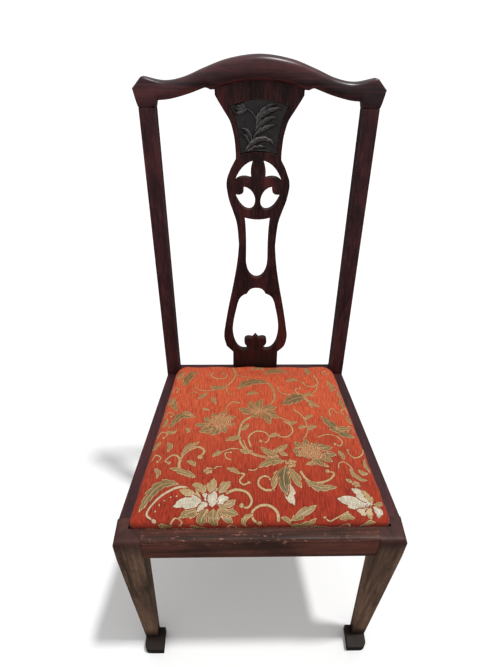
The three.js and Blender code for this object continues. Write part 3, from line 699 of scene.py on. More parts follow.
def on_outline(a, b, inset):
    """Plan place for a, b in -1..1 on or inside the cushion's rounded outline."""
    ring = np.maximum(np.maximum(np.abs(a), np.abs(b)), 1e-9)
    a, b = a / ring, b / ring
    corner = np.where(b < 0, PAD["front_corner"], PAD["rear_corner"])
    past_a = np.maximum(np.abs(a) - 1 + corner, 0)
    past_b = np.maximum(np.abs(b) - 1 + corner, 0)
    pull = np.where((past_a > 0) & (past_b > 0), corner / np.maximum(np.hypot(past_a, past_b), 1e-9), 1)
    pull = np.minimum(pull, 1)
    a = np.where(pull < 1, np.sign(a) * (1 - corner + past_a * pull), a) * ring
    b = np.where(pull < 1, np.sign(b) * (1 - corner + past_b * pull), b) * ring
    front, rear = PAD["front"] + inset, PAD["rear"] - inset
    y = front + (b + 1) / 2 * (rear - front)
    return a * half_seat(y, inset), y


def cushion_top(columns, rows, low):
    """Top, rounded edge and sides of the cushion down to the height low, as a grid: places in
    mm and the same points with the cover laid flat."""
    a, b = np.meshgrid(np.linspace(-1, 1, columns), np.linspace(-1, 1, rows))
    soft = PAD["soft"]
    ring = np.maximum(np.abs(a), np.abs(b))
    edge_a, edge_b = a / np.maximum(ring, 1e-9), b / np.maximum(ring, 1e-9)
    inner_x, inner_y = on_outline(edge_a, edge_b, soft)
    outer_x, outer_y = on_outline(edge_a, edge_b, 0)
    top_x, top_y = on_outline(a / TOP_SHARE, b / TOP_SHARE, soft)
    quarter = soft * math.pi / 2
    whole = quarter + PAD["edge_top"] - soft - low
    down = np.clip((ring - TOP_SHARE) / (1 - TOP_SHARE), 0, 1) * whole
    turn = np.minimum(down / soft, math.pi / 2)
    out = np.sin(turn)
    x = np.where(ring < TOP_SHARE, top_x, inner_x + (outer_x - inner_x) * out)
    y = np.where(ring < TOP_SHARE, top_y, inner_y + (outer_y - inner_y) * out)
    across = np.clip(x / half_seat(y, soft), -1, 1)
    deep = np.clip((y - PAD["middle"]) / PAD["reach"], -1, 1)
    dome = PAD["crown"] * (1 - np.abs(across) ** 2.6) * (1 - np.abs(deep) ** 2.6)
    z = PAD["edge_top"] - soft * (1 - np.cos(turn)) - np.maximum(down - quarter, 0) + dome
    flat_x = np.where(ring < TOP_SHARE, top_x, inner_x + (outer_x - inner_x) * down / soft)
    flat_y = np.where(ring < TOP_SHARE, top_y, inner_y + (outer_y - inner_y) * down / soft)
    return np.stack([x, y, z], axis=-1), np.stack([flat_x, flat_y], axis=-1)


def drawn_in(x, y, share):
    """A plan place brought towards the middle of the seat, to share of its distance"""
    return x * share, PAD["middle"] + (y - PAD["middle"]) * share


def stuffing_form():
    """A coarse closed form of the cushion for the simulation: cover, sides and a flat underside"""
    columns, rows = 70, 64
    top, _ = cushion_top(columns, rows, 446)
    verts = list(top.reshape(-1, 3))
    rim = grid_rim(columns, rows)
    count = len(rim)
    faces = grid_faces(columns, rows)
    first = len(verts)
    for share in (0.75, 0.4):
        for index in rim:
            x, y, z = verts[index]
            verts.append(np.array([*drawn_in(x, y, share), z]))
    for a in range(count):
        b = (a + 1) % count
        faces.append((rim[b], rim[a], first + a, first + b))
        faces.append((first + b, first + a, first + count + a, first + count + b))
    faces.append(tuple(reversed(range(first + count, first + 2 * count))))
    mesh = bpy.data.meshes.new("stuffing")
    mesh.from_pydata([in_seat(*v) for v in verts], [], faces)
    form = bpy.data.objects.new("stuffing", mesh)
    bpy.context.scene.collection.objects.link(form)
    remesh = form.modifiers.new("even", "REMESH")
    remesh.mode = "VOXEL"
    remesh.voxel_size = 5.5 * MM
    even = bpy.data.meshes.new_from_object(form.evaluated_get(bpy.context.evaluated_depsgraph_get()))
    form.modifiers.clear()
    form.data = even
    return form


def mesh_places(mesh):
    return np.array([v.co[:] for v in mesh.vertices])


def simulated():
    """Where the points of the stuffing's form start, in metres, and how each moves when the form
    is closed cloth under pressure, in mm."""
    form = stuffing_form()
    start = mesh_places(form.data)
    held = form.vertex_groups.new(name="held")
    held.add([v.index for v in form.data.vertices if v.co.z < COVER_HELD * MM], 1.0, "REPLACE")
    cloth = form.modifiers.new("cover", "CLOTH")
    cloth.settings.use_pressure = True
    cloth.settings.uniform_pressure_force = 4
    cloth.settings.effector_weights.gravity = 0
    cloth.settings.vertex_group_mass = "held"
    cloth.settings.quality = 5
    for step in range(1, 21):
        bpy.context.scene.frame_set(step)
    end = mesh_places(form.evaluated_get(bpy.context.evaluated_depsgraph_get()).data)
    bpy.context.scene.frame_set(1)
    bpy.data.objects.remove(form)
    move = (end - start) / MM
    size = np.linalg.norm(move, axis=1, keepdims=True)
    return start, move * np.minimum(1, SWELL_LIMIT / np.maximum(size, 1e-9))


def plumped(places):
    """How each place on the cover (mm) moves with the ten nearest points of the simulated form."""
    start, move = simulated()
    tree = kdtree.KDTree(len(start))
    for index, place in enumerate(start):
        tree.insert(place, index)
    tree.balance()
    result = np.zeros((len(places), 3))
    for index, place in enumerate(places):
        found = tree.find_n(in_seat(*place), 10)
        weights = np.array([1 / (away / MM + 1.5) ** 2 for _, _, away in found])
        result[index] = (weights[:, None] * move[[i for _, i, _ in found]]).sum(axis=0) / weights.sum()
    return result


def evened(values, rows, columns, times):
    """A grid of values with each one drawn towards its neighbours, several times over"""
    grid = values.reshape(rows, columns)
    for _ in range(times):
        wide = np.pad(grid, 1, mode="edge")
        around = wide[:-2, 1:-1] + wide[2:, 1:-1] + wide[1:-1, :-2] + wide[1:-1, 2:]
        grid = (4 * grid + around) / 8
    return grid.ravel()


def facing_out(places, rows, columns):
    """Unit normals of a grid of places"""
    grid = places.reshape(rows, columns, 3)
    normals = np.cross(np.gradient(grid, axis=1), np.gradient(grid, axis=0)).reshape(-1, 3)
    return normals / np.maximum(np.linalg.norm(normals, axis=1, keepdims=True), 1e-9)


def creases(flat, places):
    """Small pleats that run up from the front corners, and uneven tension along the edges."""
    x, y = flat[:, 0], flat[:, 1]
    lift = 0.35 * np.sin(x / 23 + 1.3) * np.sin(y / 31 + 0.4) + 0.25 * np.sin(x / 11.5 + y / 17)
    for sign in (-1, 1):
        corner_x, corner_y = sign * 204, 38
        away = np.hypot(x - corner_x, y - corner_y)
        angle = np.arctan2(y - corner_y, sign * (x - corner_x))
        fold = np.cos(angle * 9 + 0.6 * sign) * np.exp(-((away - 20) / 13) ** 2)
        lift -= 1.0 * np.clip(fold, 0, 1) ** 2
    edge = np.exp(-((places[:, 2] - 465) / 8) ** 2)
    pull = np.sin(y / 8.5 + 0.8 * np.sign(x)) * np.sin(y / 21 + 0.5) + 0.5 * np.sin(x / 12 + 2)
    return lift + 1.9 * edge * pull


class Brocade(Drawing):
    """The woven figure: how deep each point lies inside a motif, and how light its yarn is, the palest
    standing for painted sheen.
    """

    gap = 0.5  # ground left showing where one motif overlaps another

    def __init__(self, x, y):
        super().__init__(x, y)
        self.fill = np.full(len(self.x), -20.0)
        self.tone = np.full(len(self.x), 0.5)
        self.vein = np.full(len(self.x), -20.0)

    def lay(self, index, depth, tone):
        old = self.fill[index]
        outside = np.where(old > 0, np.minimum(old, -depth - self.gap), np.maximum(old, depth))
        self.fill[index] = np.where(depth > 0, depth, outside)
        self.tone[index] = np.where(depth > -1.5, tone, self.tone[index])
        self.vein[index] = np.where(depth > 0, -20, self.vein[index])

    def stem(self, points, half=1.5, thin=0.9, tone=0.85):
        index, away, part, _ = self.along(curve_through(points, 10), half + 6)
        self.lay(index, 1.2 * (half + (thin - half) * part) - away, tone)

    def leaf(self, points, half, tone=0.3, lobes=0):
        """A pointed leaf with teeth that point to its tip"""
        line = curve_through(points, 12)
        half = 1.12 * half
        lobes = lobes or (3 if half > 7 else 2 if half > 4.6 else 0)
        index, away, part, side = self.along(line, half * 1.2 + 6)
        width = half * np.sin(math.pi * np.clip(part, 0.015, 0.995) ** 0.78) ** 0.75
        if lobes:
            tooth = (lobes * part + 0.22 * side + 0.45) % 1
            width = width * (0.64 + 0.50 * tooth ** 0.8)
        self.lay(index, width - away, tone)
        self.vein[index] = np.maximum(self.vein[index], np.where(part < 0.8, 0.8 - away, -20))

    def dot(self, x, y, radius=2.0, tone=0.9):
        index = np.nonzero(np.hypot(self.x - x, self.y - y) < radius + 5)[0]
        self.lay(index, radius - np.hypot(self.x[index] - x, self.y[index] - y), tone)

    def scroll(self, points, half=1.7, tone=0.85):
        """A stem that ends in a round bud"""
        self.stem(points, half, half * 0.75, tone)
        self.dot(*points[-1], half * 1.9, tone)

    def petals(self, centre, reaches, half, tone=0.4, squash=0.85):
        """Pointed petals round a centre: reaches gives degrees and length of each."""
        self.gap = 1.2
        for degrees, reach in reaches:
            angle = math.radians(degrees)
            heading = np.array([math.cos(angle), math.sin(angle) * squash])
            aside = np.array([-heading[1], heading[0]]) * 0.10 * reach
            root = np.array(centre) + heading * 0.12 * reach
            tip = np.array(centre) + heading * reach
            self.leaf([root, (root + tip) / 2 + aside, tip], half, tone, 2)
        self.gap = Brocade.gap

    def eye(self, centre, wide, tall, rings=2):
        """Concentric ovals at the heart of a flower"""
        for turn in range(rings):
            share = 1 - turn / rings
            scale = np.array([wide, tall]) * share
            index = np.nonzero(np.hypot(self.x - centre[0], self.y - centre[1]) < max(wide, tall) + 4)[0]
            reach = np.hypot((self.x[index] - centre[0]) / scale[0], (self.y[index] - centre[1]) / scale[1])
            self.lay(index, np.minimum((1 - reach) * scale.min(), 2.2), 0.1 + 0.75 * (turn % 2))


# The figure's strokes, each a smooth line through its points (mm on the cloth laid flat).
# Stems: (points, half width, and where they differ from the usual its share left at the tip and tone)
STEMS = [
    ([(-48, 392), (-42, 366), (-48, 342), (-60, 324), (-84, 313), (-108, 312), (-124, 321),
      (-125, 334)], 1.9), ([(-62, 320), (-58, 304), (-46, 296)], 1.4),
    ([(26, 332), (34, 314), (36, 290), (31, 276), (22, 266)], 2.6, 1.2, 0.6),
    ([(-34, 275), (-48, 278), (-58, 268), (-61, 255)], 1.5),
    ([(-14, 238), (-29, 224), (-35, 196), (-29, 170), (-8, 150), (26, 142), (56, 134)], 2.2, 1.5),
    ([(-27, 182), (-19, 162), (-2, 150), (18, 146)], 1.2), ([(-24, 160), (-48, 164), (-68, 156)], 1.3),
    ([(72, 258), (84, 246), (92, 230), (94, 208), (90, 194), (83, 184)], 1.5),
    ([(129, 333), (122, 312), (110, 301), (97, 296)], 1.4),
    ([(66, 224), (58, 229), (46, 236), (36, 246)], 1.2), ([(-18, 119), (-8, 118), (2, 126)], 1.2),
    ([(168, 116), (163, 128), (152, 136), (143, 132), (141, 122)], 1.4),
    ([(-80, 121), (-72, 126), (-66, 125)], 1.1), ([(112, 190), (130, 197), (148, 194)], 1.2),
    ([(-133, 306), (-126, 310), (-119, 303)], 1.0), ([(-40, 362), (-28, 354), (-12, 352)], 1.1),
    ([(20, 364), (46, 368), (70, 363)], 1.3),
]
# Stems that end in a round bud: (points, half width, and the tone of a pale one, which near 1 is painted
# sheen, silver)
SCROLLS = [
    ([(-90, 372), (-94, 358), (-82, 347), (-66, 348), (-60, 360), (-70, 366)], 1.6),
    ([(123, 357), (129, 334), (117, 322), (103, 325), (98, 333)], 1.6),
    ([(84, 298), (60, 299), (48, 306), (44, 318)], 1.5),
    ([(97, 297), (84, 302), (80, 312), (90, 317)], 1.6),
    ([(-14, 168), (-17, 190), (-3, 203), (14, 200), (21, 188), (14, 177), (5, 181)], 1.6),
    ([(52, 227), (62, 218), (66, 204), (56, 191), (42, 190), (33, 198)], 1.6),
    ([(148, 194), (157, 183), (151, 172), (142, 175)], 1.5),
    ([(142, 244), (143, 260), (152, 265), (157, 257)], 1.4),
    ([(197, 172), (190, 157), (176, 151), (165, 158), (165, 165)], 1.4),
    ([(-113, 106), (-132, 112), (-141, 128), (-139, 146), (-128, 161), (-110, 169), (-98, 160),
      (-105, 147)], 2.5), ([(-139, 140), (-147, 152), (-158, 154), (-168, 145), (-160, 138)], 1.9),
    ([(-34, 112), (-26, 110), (-34, 98), (-28, 90), (-18, 94)], 1.6),
    ([(-50, 140), (-58, 144), (-60, 154), (-50, 156)], 1.3),
    ([(24, 80), (9, 80), (-2, 90), (1, 102), (12, 106), (20, 99)], 1.9),
    ([(73, 114), (80, 101), (93, 93), (110, 94), (124, 101), (131, 112), (120, 116)], 2.0),
    ([(-56, 76), (-40, 81), (-22, 76), (-14, 62), (-21, 51), (-31, 55)], 2.2),
    ([(30, 28), (28, 44), (16, 54), (0, 54), (-13, 44), (-12, 31), (-2, 24)], 2.3),
    ([(146, 42), (130, 34), (116, 26), (107, 33)], 1.5),
    ([(-104, 74), (-133, 87), (-158, 77), (-179, 58), (-188, 42), (-176, 29)], 2.2, 0.95),
]
CURLS = [  # small scrolls along the edges
    [(-196, 150), (-188, 161), (-177, 154), (-183, 146)],
    [(-190, 200), (-181, 212), (-171, 205), (-177, 198)],
    [(-182, 250), (-175, 262), (-164, 257), (-168, 250)],
    [(-176, 316), (-169, 329), (-159, 325), (-163, 317)],
    [(-166, 350), (-157, 360), (-148, 354), (-153, 348)], [(192, 215), (182, 226), (172, 221), (174, 213)],
    [(184, 258), (176, 269), (167, 263), (171, 256)], [(176, 326), (168, 336), (160, 330), (164, 322)],
    [(158, 372), (149, 364), (143, 371), (149, 376)], [(-62, 8), (-52, 20), (-42, 15), (-47, 8)],
    [(-150, 24), (-140, 34), (-130, 28), (-136, 21)], [(160, 12), (150, 21), (141, 15), (147, 9)],
]
# Leaves: (points from root to tip, half width, tone, and the number of teeth if not the usual)
LEAVES = [
    ([(-151, 336), (-140, 358), (-122, 377)], 9, 0.15), ([(-94, 322), (-76, 318), (-58, 324)], 6, 0.25),
    ([(-38, 316), (-20, 331), (2, 337), (28, 332)], 9, 0.15, 4),
    ([(18, 374), (44, 380), (70, 372)], 7, 0.2), ([(106, 390), (113, 376), (110, 360)], 5, 0.2),
    ([(99, 292), (76, 287), (50, 269)], 12, 0.15, 4), ([(98, 290), (106, 276), (109, 260)], 4.5, 0.4),
    ([(102, 284), (114, 272), (126, 264)], 4, 0.4), ([(96, 296), (106, 300), (117, 294)], 4, 0.4),
    ([(-121, 242), (-148, 248), (-173, 221)], 8.5, 0.2, 5),
    ([(-128, 246), (-136, 254), (-144, 258)], 4, 0.4), ([(-88, 294), (-86, 284), (-80, 272)], 4, 0.3),
    ([(-168, 298), (-165, 280), (-157, 262)], 6, 0.15, 3), ([(-107, 263), (-100, 260), (-92, 257)], 3, 0.5),
    ([(-31, 188), (-44, 188), (-61, 182)], 5.5, 0.4), ([(-30, 206), (-22, 214), (-17, 224)], 4.5, 0.4),
    ([(-66, 157), (-74, 154), (-84, 146)], 5, 0.5), ([(-34, 162), (-22, 156), (-10, 160)], 4, 0.5),
    ([(36, 146), (20, 154), (2, 168)], 6.5, 0.4, 3), ([(26, 158), (40, 162), (55, 173)], 5.5, 0.4, 2),
    ([(38, 160), (44, 152), (54, 148)], 4, 0.4), ([(93, 232), (99, 240), (109, 243)], 4, 0.4),
    ([(94, 206), (102, 214), (114, 216)], 5, 0.4), ([(92, 214), (84, 214), (76, 210)], 4, 0.4),
    ([(182, 198), (160, 206), (142, 220), (123, 243)], 10, 0.15, 4),
    ([(150, 212), (166, 218), (182, 220)], 6, 0.3), ([(58, 226), (68, 224), (76, 226)], 4, 0.4),
    ([(22, 190), (30, 194), (42, 194)], 4, 0.4), ([(44, 136), (22, 136), (-2, 123)], 8, 0.35, 3),
    ([(84, 129), (104, 134), (126, 124)], 5.5, 0.4, 3),
    ([(-138, 150), (-128, 169), (-106, 181)], 5.5, 0.45),
    ([(-110, 106), (-134, 117), (-160, 127)], 5.5, 0.4), ([(-56, 122), (-44, 118), (-32, 110)], 4.5, 0.5),
    ([(-112, 128), (-119, 136), (-130, 139)], 4.5, 0.5), ([(80, 96), (102, 84), (134, 84)], 7, 0.35, 4),
    ([(160, 122), (172, 108), (192, 103)], 5, 0.4), ([(150, 100), (158, 95), (163, 88)], 3.5, 0.5),
    ([(178, 124), (186, 118), (196, 118)], 4, 0.4),
    ([(-140, 93), (-166, 95), (-186, 80), (-202, 45)], 9, 0.3, 6),
    ([(-168, 186), (-162, 176), (-166, 162)], 5, 0.35),
    ([(-172, 212), (-160, 208), (-152, 214)], 4.5, 0.45),
    ([(-136, 214), (-130, 208), (-134, 202)], 3.5, 0.5), ([(52, 28), (70, 40), (96, 55)], 7.5, 0.45, 2),
    ([(54, 18), (74, 16), (94, 32)], 8, 0.4, 2), ([(132, 30), (146, 34), (158, 30)], 5, 0.4),
    ([(34, 34), (44, 30), (52, 20)], 4, 0.5), ([(196, 150), (194, 134), (200, 118)], 4, 0.4),
    ([(-186, 130), (-178, 122), (-180, 108)], 4.5, 0.35), ([(-12, 40), (-28, 30), (-24, 14)], 4.5, 0.5),
    ([(150, 345), (158, 330), (156, 312)], 5, 0.3), ([(176, 300), (172, 284), (180, 268)], 5, 0.25, 3),
    ([(-120, 20), (-100, 8), (-76, 6)], 6, 0.4, 2), ([(90, 14), (112, 8), (134, 10)], 6, 0.4, 2),
    ([(-24, 6), (0, 4), (24, 10)], 5, 0.45), ([(-198, 172), (-188, 182), (-180, 190)], 5, 0.3, 2),
    ([(-186, 226), (-178, 238), (-176, 248)], 5, 0.3, 2),
    ([(-176, 280), (-172, 292), (-166, 302)], 5, 0.3, 2), ([(186, 232), (180, 244), (178, 254)], 5, 0.3, 2),
    ([(176, 300), (172, 312), (170, 322)], 5, 0.3, 2), ([(-150, 372), (-160, 364), (-166, 352)], 5, 0.3, 2),
    ([(-20, 296), (-8, 304), (6, 302)], 4.6, 0.3, 2), ([(-118, 290), (-108, 296), (-98, 306)], 4.6, 0.3, 2),
    ([(62, 336), (76, 342), (90, 340)], 4.6, 0.3, 2), ([(-8, 384), (8, 388), (22, 384)], 4.6, 0.3, 2),
    ([(146, 160), (152, 150), (154, 140)], 4.6, 0.3, 2), ([(-176, 10), (-166, 20), (-150, 18)], 5, 0.4, 2),
    ([(176, 14), (184, 22), (196, 22)], 5, 0.4, 2), ([(60, 0), (72, 4), (86, 2)], 4.6, 0.4, 2),
]
BEADS = [(-140, 70), (-150, 68), (-160, 62), (-168, 55), (-174, 46)]


def draw_stems(cloth):
    for points, *style in STEMS:
        cloth.stem(points, *style)


def draw_scrolls(cloth):
    for points, *style in SCROLLS:
        cloth.scroll(points, *style)
    for points in CURLS:
        cloth.scroll(points, 1.4)
    for x, y in BEADS:
        cloth.dot(x, y, 1.9)
    for turn in range(7):
        angle = math.radians(110 + 32 * turn)
        cloth.dot(4 + 12 * math.cos(angle), 187 + 10 * math.sin(angle), 1.2)


def draw_leaves(cloth):
    for points, *style in LEAVES:
        cloth.leaf(points, *style)


# Blooms drawn petal by petal: (points from root to tip, half width, tone); tones near 1 are painted sheen,
# silver
HANGING_LILY = [
    ([(42, 120), (30, 102), (22, 80)], 8, 0.5), ([(54, 120), (64, 100), (72, 82)], 8, 0.5),
    ([(43, 100), (49, 76), (58, 54)], 10, 0.97), ([(47, 125), (42, 100), (46, 70)], 11, 0.1),
]
FRONT_BLOOM = [
    ([(-94, 50), (-114, 45), (-134, 35)], 10, 0.4), ([(-88, 48), (-96, 34), (-102, 20)], 10, 0.35),
    ([(-78, 48), (-78, 32), (-74, 18)], 10, 0.4), ([(-70, 50), (-58, 38), (-46, 24)], 9, 0.35),
    ([(-68, 52), (-52, 46), (-36, 40)], 9, 0.4), ([(-70, 56), (-54, 58), (-40, 64)], 8, 0.6),
    ([(-92, 76), (-102, 86), (-116, 92)], 7.5, 0.7), ([(-68, 76), (-60, 87), (-49, 96)], 8, 0.7),
    ([(-80, 72), (-81, 88), (-78, 103)], 9, 0.75), ([(-98, 60), (-116, 72), (-137, 82)], 9, 0.8),
    ([(-94, 56), (-118, 61), (-146, 54)], 9.5, 1.0), ([(-72, 58), (-63, 66), (-52, 68)], 6.5, 1.0),
    ([(-84, 56), (-88, 68), (-98, 74)], 6, 1.0), ([(-80, 54), (-80, 66), (-76, 80)], 8.5, 1.0),
    ([(-88, 58), (-98, 54), (-104, 44)], 5.5, 1.0),
]
CORNER_LILY = [
    ([(188, 50), (162, 56), (130, 65)], 10, 1.0), ([(188, 54), (172, 70), (156, 82)], 8.5, 1.0),
    ([(190, 58), (184, 70), (174, 80)], 6.5, 0.9), ([(186, 46), (174, 42), (160, 46)], 6, 0.95),
    ([(190, 50), (198, 42), (196, 30)], 6, 1.0), ([(184, 48), (182, 38), (186, 28)], 5.5, 0.9),
    ([(192, 54), (202, 56), (210, 62)], 5, 0.4),
]


def draw_flowers(cloth):
    reaches = [(165, 42), (118, 38), (80, 40), (18, 38), (-28, 44), (-62, 44), (-140, 22)]
    cloth.petals((4, 252), reaches, 8, 0.3)
    cloth.eye((2, 252), 8, 6)
    reaches = [
        (182, 48), (212, 46), (245, 38), (290, 30), (150, 36), (112, 34), (70, 38), (30, 36), (-10, 30),
    ]
    cloth.petals((-72, 224), reaches, 8, 0.25)
    cloth.petals((-72, 224), [(135, 24), (90, 26), (45, 26), (0, 24)], 8, 0.45)
    cloth.eye((-68, 227), 18, 14, 5)
    reaches = [(-4, 48), (22, 46), (-28, 44), (-60, 36), (58, 34), (98, 40), (128, 42), (160, 34)]
    cloth.petals((94, 152), reaches, 8.5, 0.25)
    cloth.petals((94, 152), [(30, 26), (75, 26), (120, 26), (-15, 26)], 8, 0.45)
    cloth.eye((94, 154), 19, 13, 5)
    cloth.petals((57, 131), [(20, 11), (92, 11), (164, 11), (236, 11), (308, 11)], 4, 0.6)
    cloth.dot(57, 131, 2.6)
    for centre in ((-89, 118), (167, 91)):
        cloth.petals(centre, [(30, 9), (102, 9), (174, 9), (246, 9), (318, 9)], 3.4, 0.55)
        cloth.dot(*centre, 1.8)
    cloth.gap = 1.2
    for points, half, tone in HANGING_LILY + FRONT_BLOOM + CORNER_LILY:
        cloth.leaf(points, half, tone, 2)
    cloth.gap = Brocade.gap


def brocade(name):
    """Chenille ground with streaks along the warp, and a raised figure in cream, gold and olive. Painted
    sheen lightens the ground towards the rear and turns the palest yarn silver.
    """
    made = Recipe(name)
    made.place = made.node("ShaderNodeAttribute", attribute_name="flat").outputs["Vector"]  # mm
    deep = made.node("ShaderNodeSeparateXYZ", {"Vector": made.place}).outputs["Y"]
    fill, vein, tone = made.attribute("fill"), made.attribute("vein"), made.attribute("tone")
    streak = made.noise((0.60, 0.045, 0.2), detail=4, rough=0.7)
    thread = made.noise((1.3, 0.10, 0.2), detail=3, rough=0.6)
    cloud = made.noise((0.018, 0.018, 0.018), detail=4, rough=0.6)
    fray = made.noise((0.9, 0.5, 0.3), detail=4, rough=0.6)
    nap = made.noise((2.2, 1.6, 1), detail=3, rough=0.7)

    # Painted sheen: ground, shade ring and olive lighter towards the rear and cream paler towards the
    # front, as the cloth's sheen changes with how it is seen
    sheen_front_to_rear = made.span(deep, 30.0, 330.0)
    bright = made.mix(sheen_front_to_rear, (0.42, 0.042, 0.012), (0.62, 0.115, 0.040))
    dark = made.mix(sheen_front_to_rear, (0.15, 0.008, 0.004), (0.33, 0.036, 0.011))
    ground = made.mix(made.span(streak, 0.38, 0.62), dark, bright)
    ground = made.mix(made.span(thread, 0.56, 0.34, 0.0, 0.6), ground, dark)
    ground = made.mix(made.span(cloud, 0.35, 0.7, 0.0, 0.3), ground, bright)

    edge = made.maths("ADD", fill, made.span(fray, 0.2, 0.8, -0.55, 0.55))
    cream = made.mix(sheen_front_to_rear, (0.64, 0.45, 0.22), (0.54, 0.31, 0.125))
    # Painted sheen: yarn of tone above 0.9 is turned silver, the satin's highlight on the front blooms
    cream = made.mix(made.span(tone, 0.90, 1.0), cream, (0.74, 0.69, 0.54))
    gold = made.mix(sheen_front_to_rear, (0.25, 0.150, 0.050), (0.27, 0.135, 0.046))
    olive = made.mix(sheen_front_to_rear, (0.10, 0.068, 0.020), (0.15, 0.080, 0.026))
    yarn = made.mix(made.span(tone, 0.1, 0.5), olive, gold)
    yarn = made.mix(made.span(tone, 0.55, 0.9, 0.0, 0.62), yarn, cream)
    figure = made.mix(made.span(edge, 1.1, 2.0), cream, yarn)
    inner_line = made.maths("MULTIPLY", made.span(edge, 3.2, 3.7), made.span(edge, 4.3, 5.0, 1.0, 0.0))
    figure = made.mix(made.maths("MULTIPLY", inner_line, 0.3), figure, cream)
    figure = made.mix(made.span(vein, -0.4, 0.4, 0.0, 0.75), figure, cream)
    figure = made.mix(made.span(thread, 0.62, 0.36, 0.0, 0.6), figure, olive)
    shadow = made.span(edge, -2.0, -0.2, 0.0, 0.45)
    ground = made.mix(shadow, ground, made.mix(sheen_front_to_rear, (0.14, 0.030, 0.010), (0.26, 0.060, 0.020)))
    shown = made.span(edge, 0.0, 0.7)
    colour = made.mix(shown, ground, figure)

    roughness = made.mix(shown, (0.9, 0.9, 0.9), (0.40, 0.40, 0.40))
    relief = made.maths("ADD", made.span(edge, -0.2, 1.2), made.maths("MULTIPLY", thread, 0.5))
    normal = made.bump((nap, 0.25 * MM, 0.6), (relief, 0.45 * MM, 0.8))
    return made.finish(colour, roughness, normal, Specular_IOR_Level=0.35, Sheen_Weight=0.03,
                       Sheen_Roughness=0.4)


def make_cushion(material):
    columns, rows = 300, 276
    top, flat = cushion_top(columns, rows, PAD["low"])
    places = top.reshape(-1, 3)
    flat = flat.reshape(-1, 2)
    free = np.clip((places[:, 2] - COVER_HELD - 1) / 9, 0, 1)
    outward = facing_out(places, rows, columns)
    swell = np.clip((plumped(places) * outward).sum(axis=1), -1, SWELL_LIMIT)
    swell = evened(swell * free, rows, columns, 12)
    places = places + outward * swell[:, None]
    cloth = Brocade(flat[:, 0], flat[:, 1])
    draw_stems(cloth)
    draw_scrolls(cloth)
    draw_leaves(cloth)
    draw_flowers(cloth)
    raised = 0.35 * np.clip(cloth.fill / 1.2, 0, 1) + creases(flat, places)
    places = places + facing_out(places, rows, columns) * (raised * free)[:, None]

    verts = [in_seat(*p) for p in places]
    faces = grid_faces(columns, rows)
    rim = grid_rim(columns, rows)
    a, b = np.meshgrid(np.linspace(-1, 1, columns), np.linspace(-1, 1, rows))
    a, b = a.ravel()[rim], b.ravel()[rim]
    previous = rim
    for inset, share, z in UNDERSIDE:
        start = len(verts)
        ring_x, ring_y = on_outline(a, b, inset)
        verts += [in_seat(*drawn_in(x, y, share), z) for x, y in zip(ring_x, ring_y)]
        ring = list(range(start, start + len(rim)))
        for k in range(len(rim)):
            n = (k + 1) % len(rim)
            faces.append((previous[n], previous[k], ring[k], ring[n]))
        previous = ring
    faces.append(tuple(reversed(previous)))
    cushion = new_piece("seat_cushion", verts, faces, material, "drop_in_seat")
    extra = len(verts) - len(places)
    set_attribute(cushion, "fill", np.concatenate([cloth.fill, np.full(extra, -20)]))
    set_attribute(cushion, "tone", np.concatenate([cloth.tone, np.full(extra, 0.5)]))
    set_attribute(cushion, "vein", np.concatenate([cloth.vein, np.full(extra, -20)]))
    laid = np.zeros((len(verts), 3), np.float32)
    laid[:len(places), :2] = flat
    under = np.array(verts[len(places):]) / MM
    laid[len(places):] = under
    vector = cushion.data.attributes.new("flat", "FLOAT_VECTOR", "POINT")
    vector.data.foreach_set("vector", laid.ravel())
    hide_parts("seat_pad")


make_cushion(brocade("floral_brocade"))


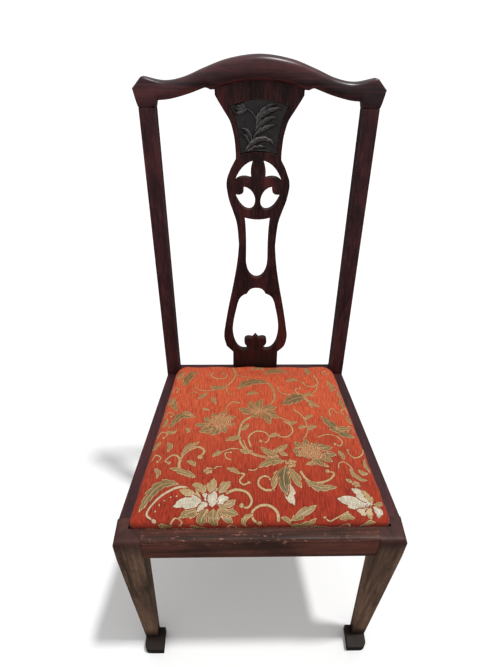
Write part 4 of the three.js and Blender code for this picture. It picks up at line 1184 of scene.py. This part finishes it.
# ---------------------------------------------------------------- stage
def make_stage():
    reach = 40.0
    mesh = bpy.data.meshes.new("floor")
    corners = [(-reach, -reach, 0), (reach, -reach, 0), (reach, reach, 0), (-reach, reach, 0)]
    mesh.from_pydata(corners, [], [(0, 1, 2, 3)])
    floor = bpy.data.objects.new("floor", mesh)
    bpy.context.scene.collection.objects.link(floor)
    material = bpy.data.materials.new("floor")
    material.use_nodes = True
    shader = material.node_tree.nodes["Principled BSDF"]
    shader.inputs["Base Color"].default_value = (0.88, 0.88, 0.88, 1)
    shader.inputs["Roughness"].default_value = 0.7
    shader.inputs["Specular IOR Level"].default_value = 0.2
    mesh.materials.append(material)
    floor.visible_glossy = False


def make_lights():
    """A pale dome, brighter overhead, dim below the horizon and seen as plain white, and one soft
    lamp high on the right."""
    world = bpy.data.worlds.new("world")
    world.use_nodes = True
    tree = world.node_tree

    def node(kind, *feeds, **settings):
        made = tree.nodes.new(kind)
        for key, value in settings.items():
            setattr(made, key, value)
        for key, socket in feeds:
            tree.links.new(socket, made.inputs[key])
        return made

    heading = node("ShaderNodeTexCoord").outputs["Generated"]
    height = node("ShaderNodeSeparateXYZ", ("Vector", heading)).outputs["Z"]
    level = node("ShaderNodeMapRange", ("Value", height), interpolation_type="SMOOTHSTEP")
    below = node("ShaderNodeMapRange", ("Value", height))
    for made, limits in ((level, (0.0, 0.95, 0.38, 0.76)), (below, (-0.15, 0.05, 0.2, 1.0))):
        for name, value in zip(("From Min", "From Max", "To Min", "To Max"), limits):
            made.inputs[name].default_value = value
    shares = (0, level.outputs["Result"]), (1, below.outputs["Result"])
    lit = node("ShaderNodeMath", *shares, operation="MULTIPLY").outputs["Value"]
    camera_sees = node("ShaderNodeLightPath").outputs["Is Camera Ray"]
    seen = node("ShaderNodeMath", (0, lit), (1, camera_sees), operation="MAXIMUM")
    sky = tree.nodes["Background"]
    sky.inputs["Color"].default_value = (1, 1, 1, 1)
    tree.links.new(seen.outputs["Value"], sky.inputs["Strength"])
    bpy.context.scene.world = world
    data = bpy.data.lights.new("overhead", "SUN")
    data.energy = 2.05
    data.angle = math.radians(4)
    sun = bpy.data.objects.new("overhead", data)
    sun.rotation_euler = Vector((-118, 10, -450)).to_track_quat("-Z", "Y").to_euler()
    bpy.context.scene.collection.objects.link(sun)


make_stage()
make_lights()
bpy.context.scene.view_settings.view_transform = "Standard"
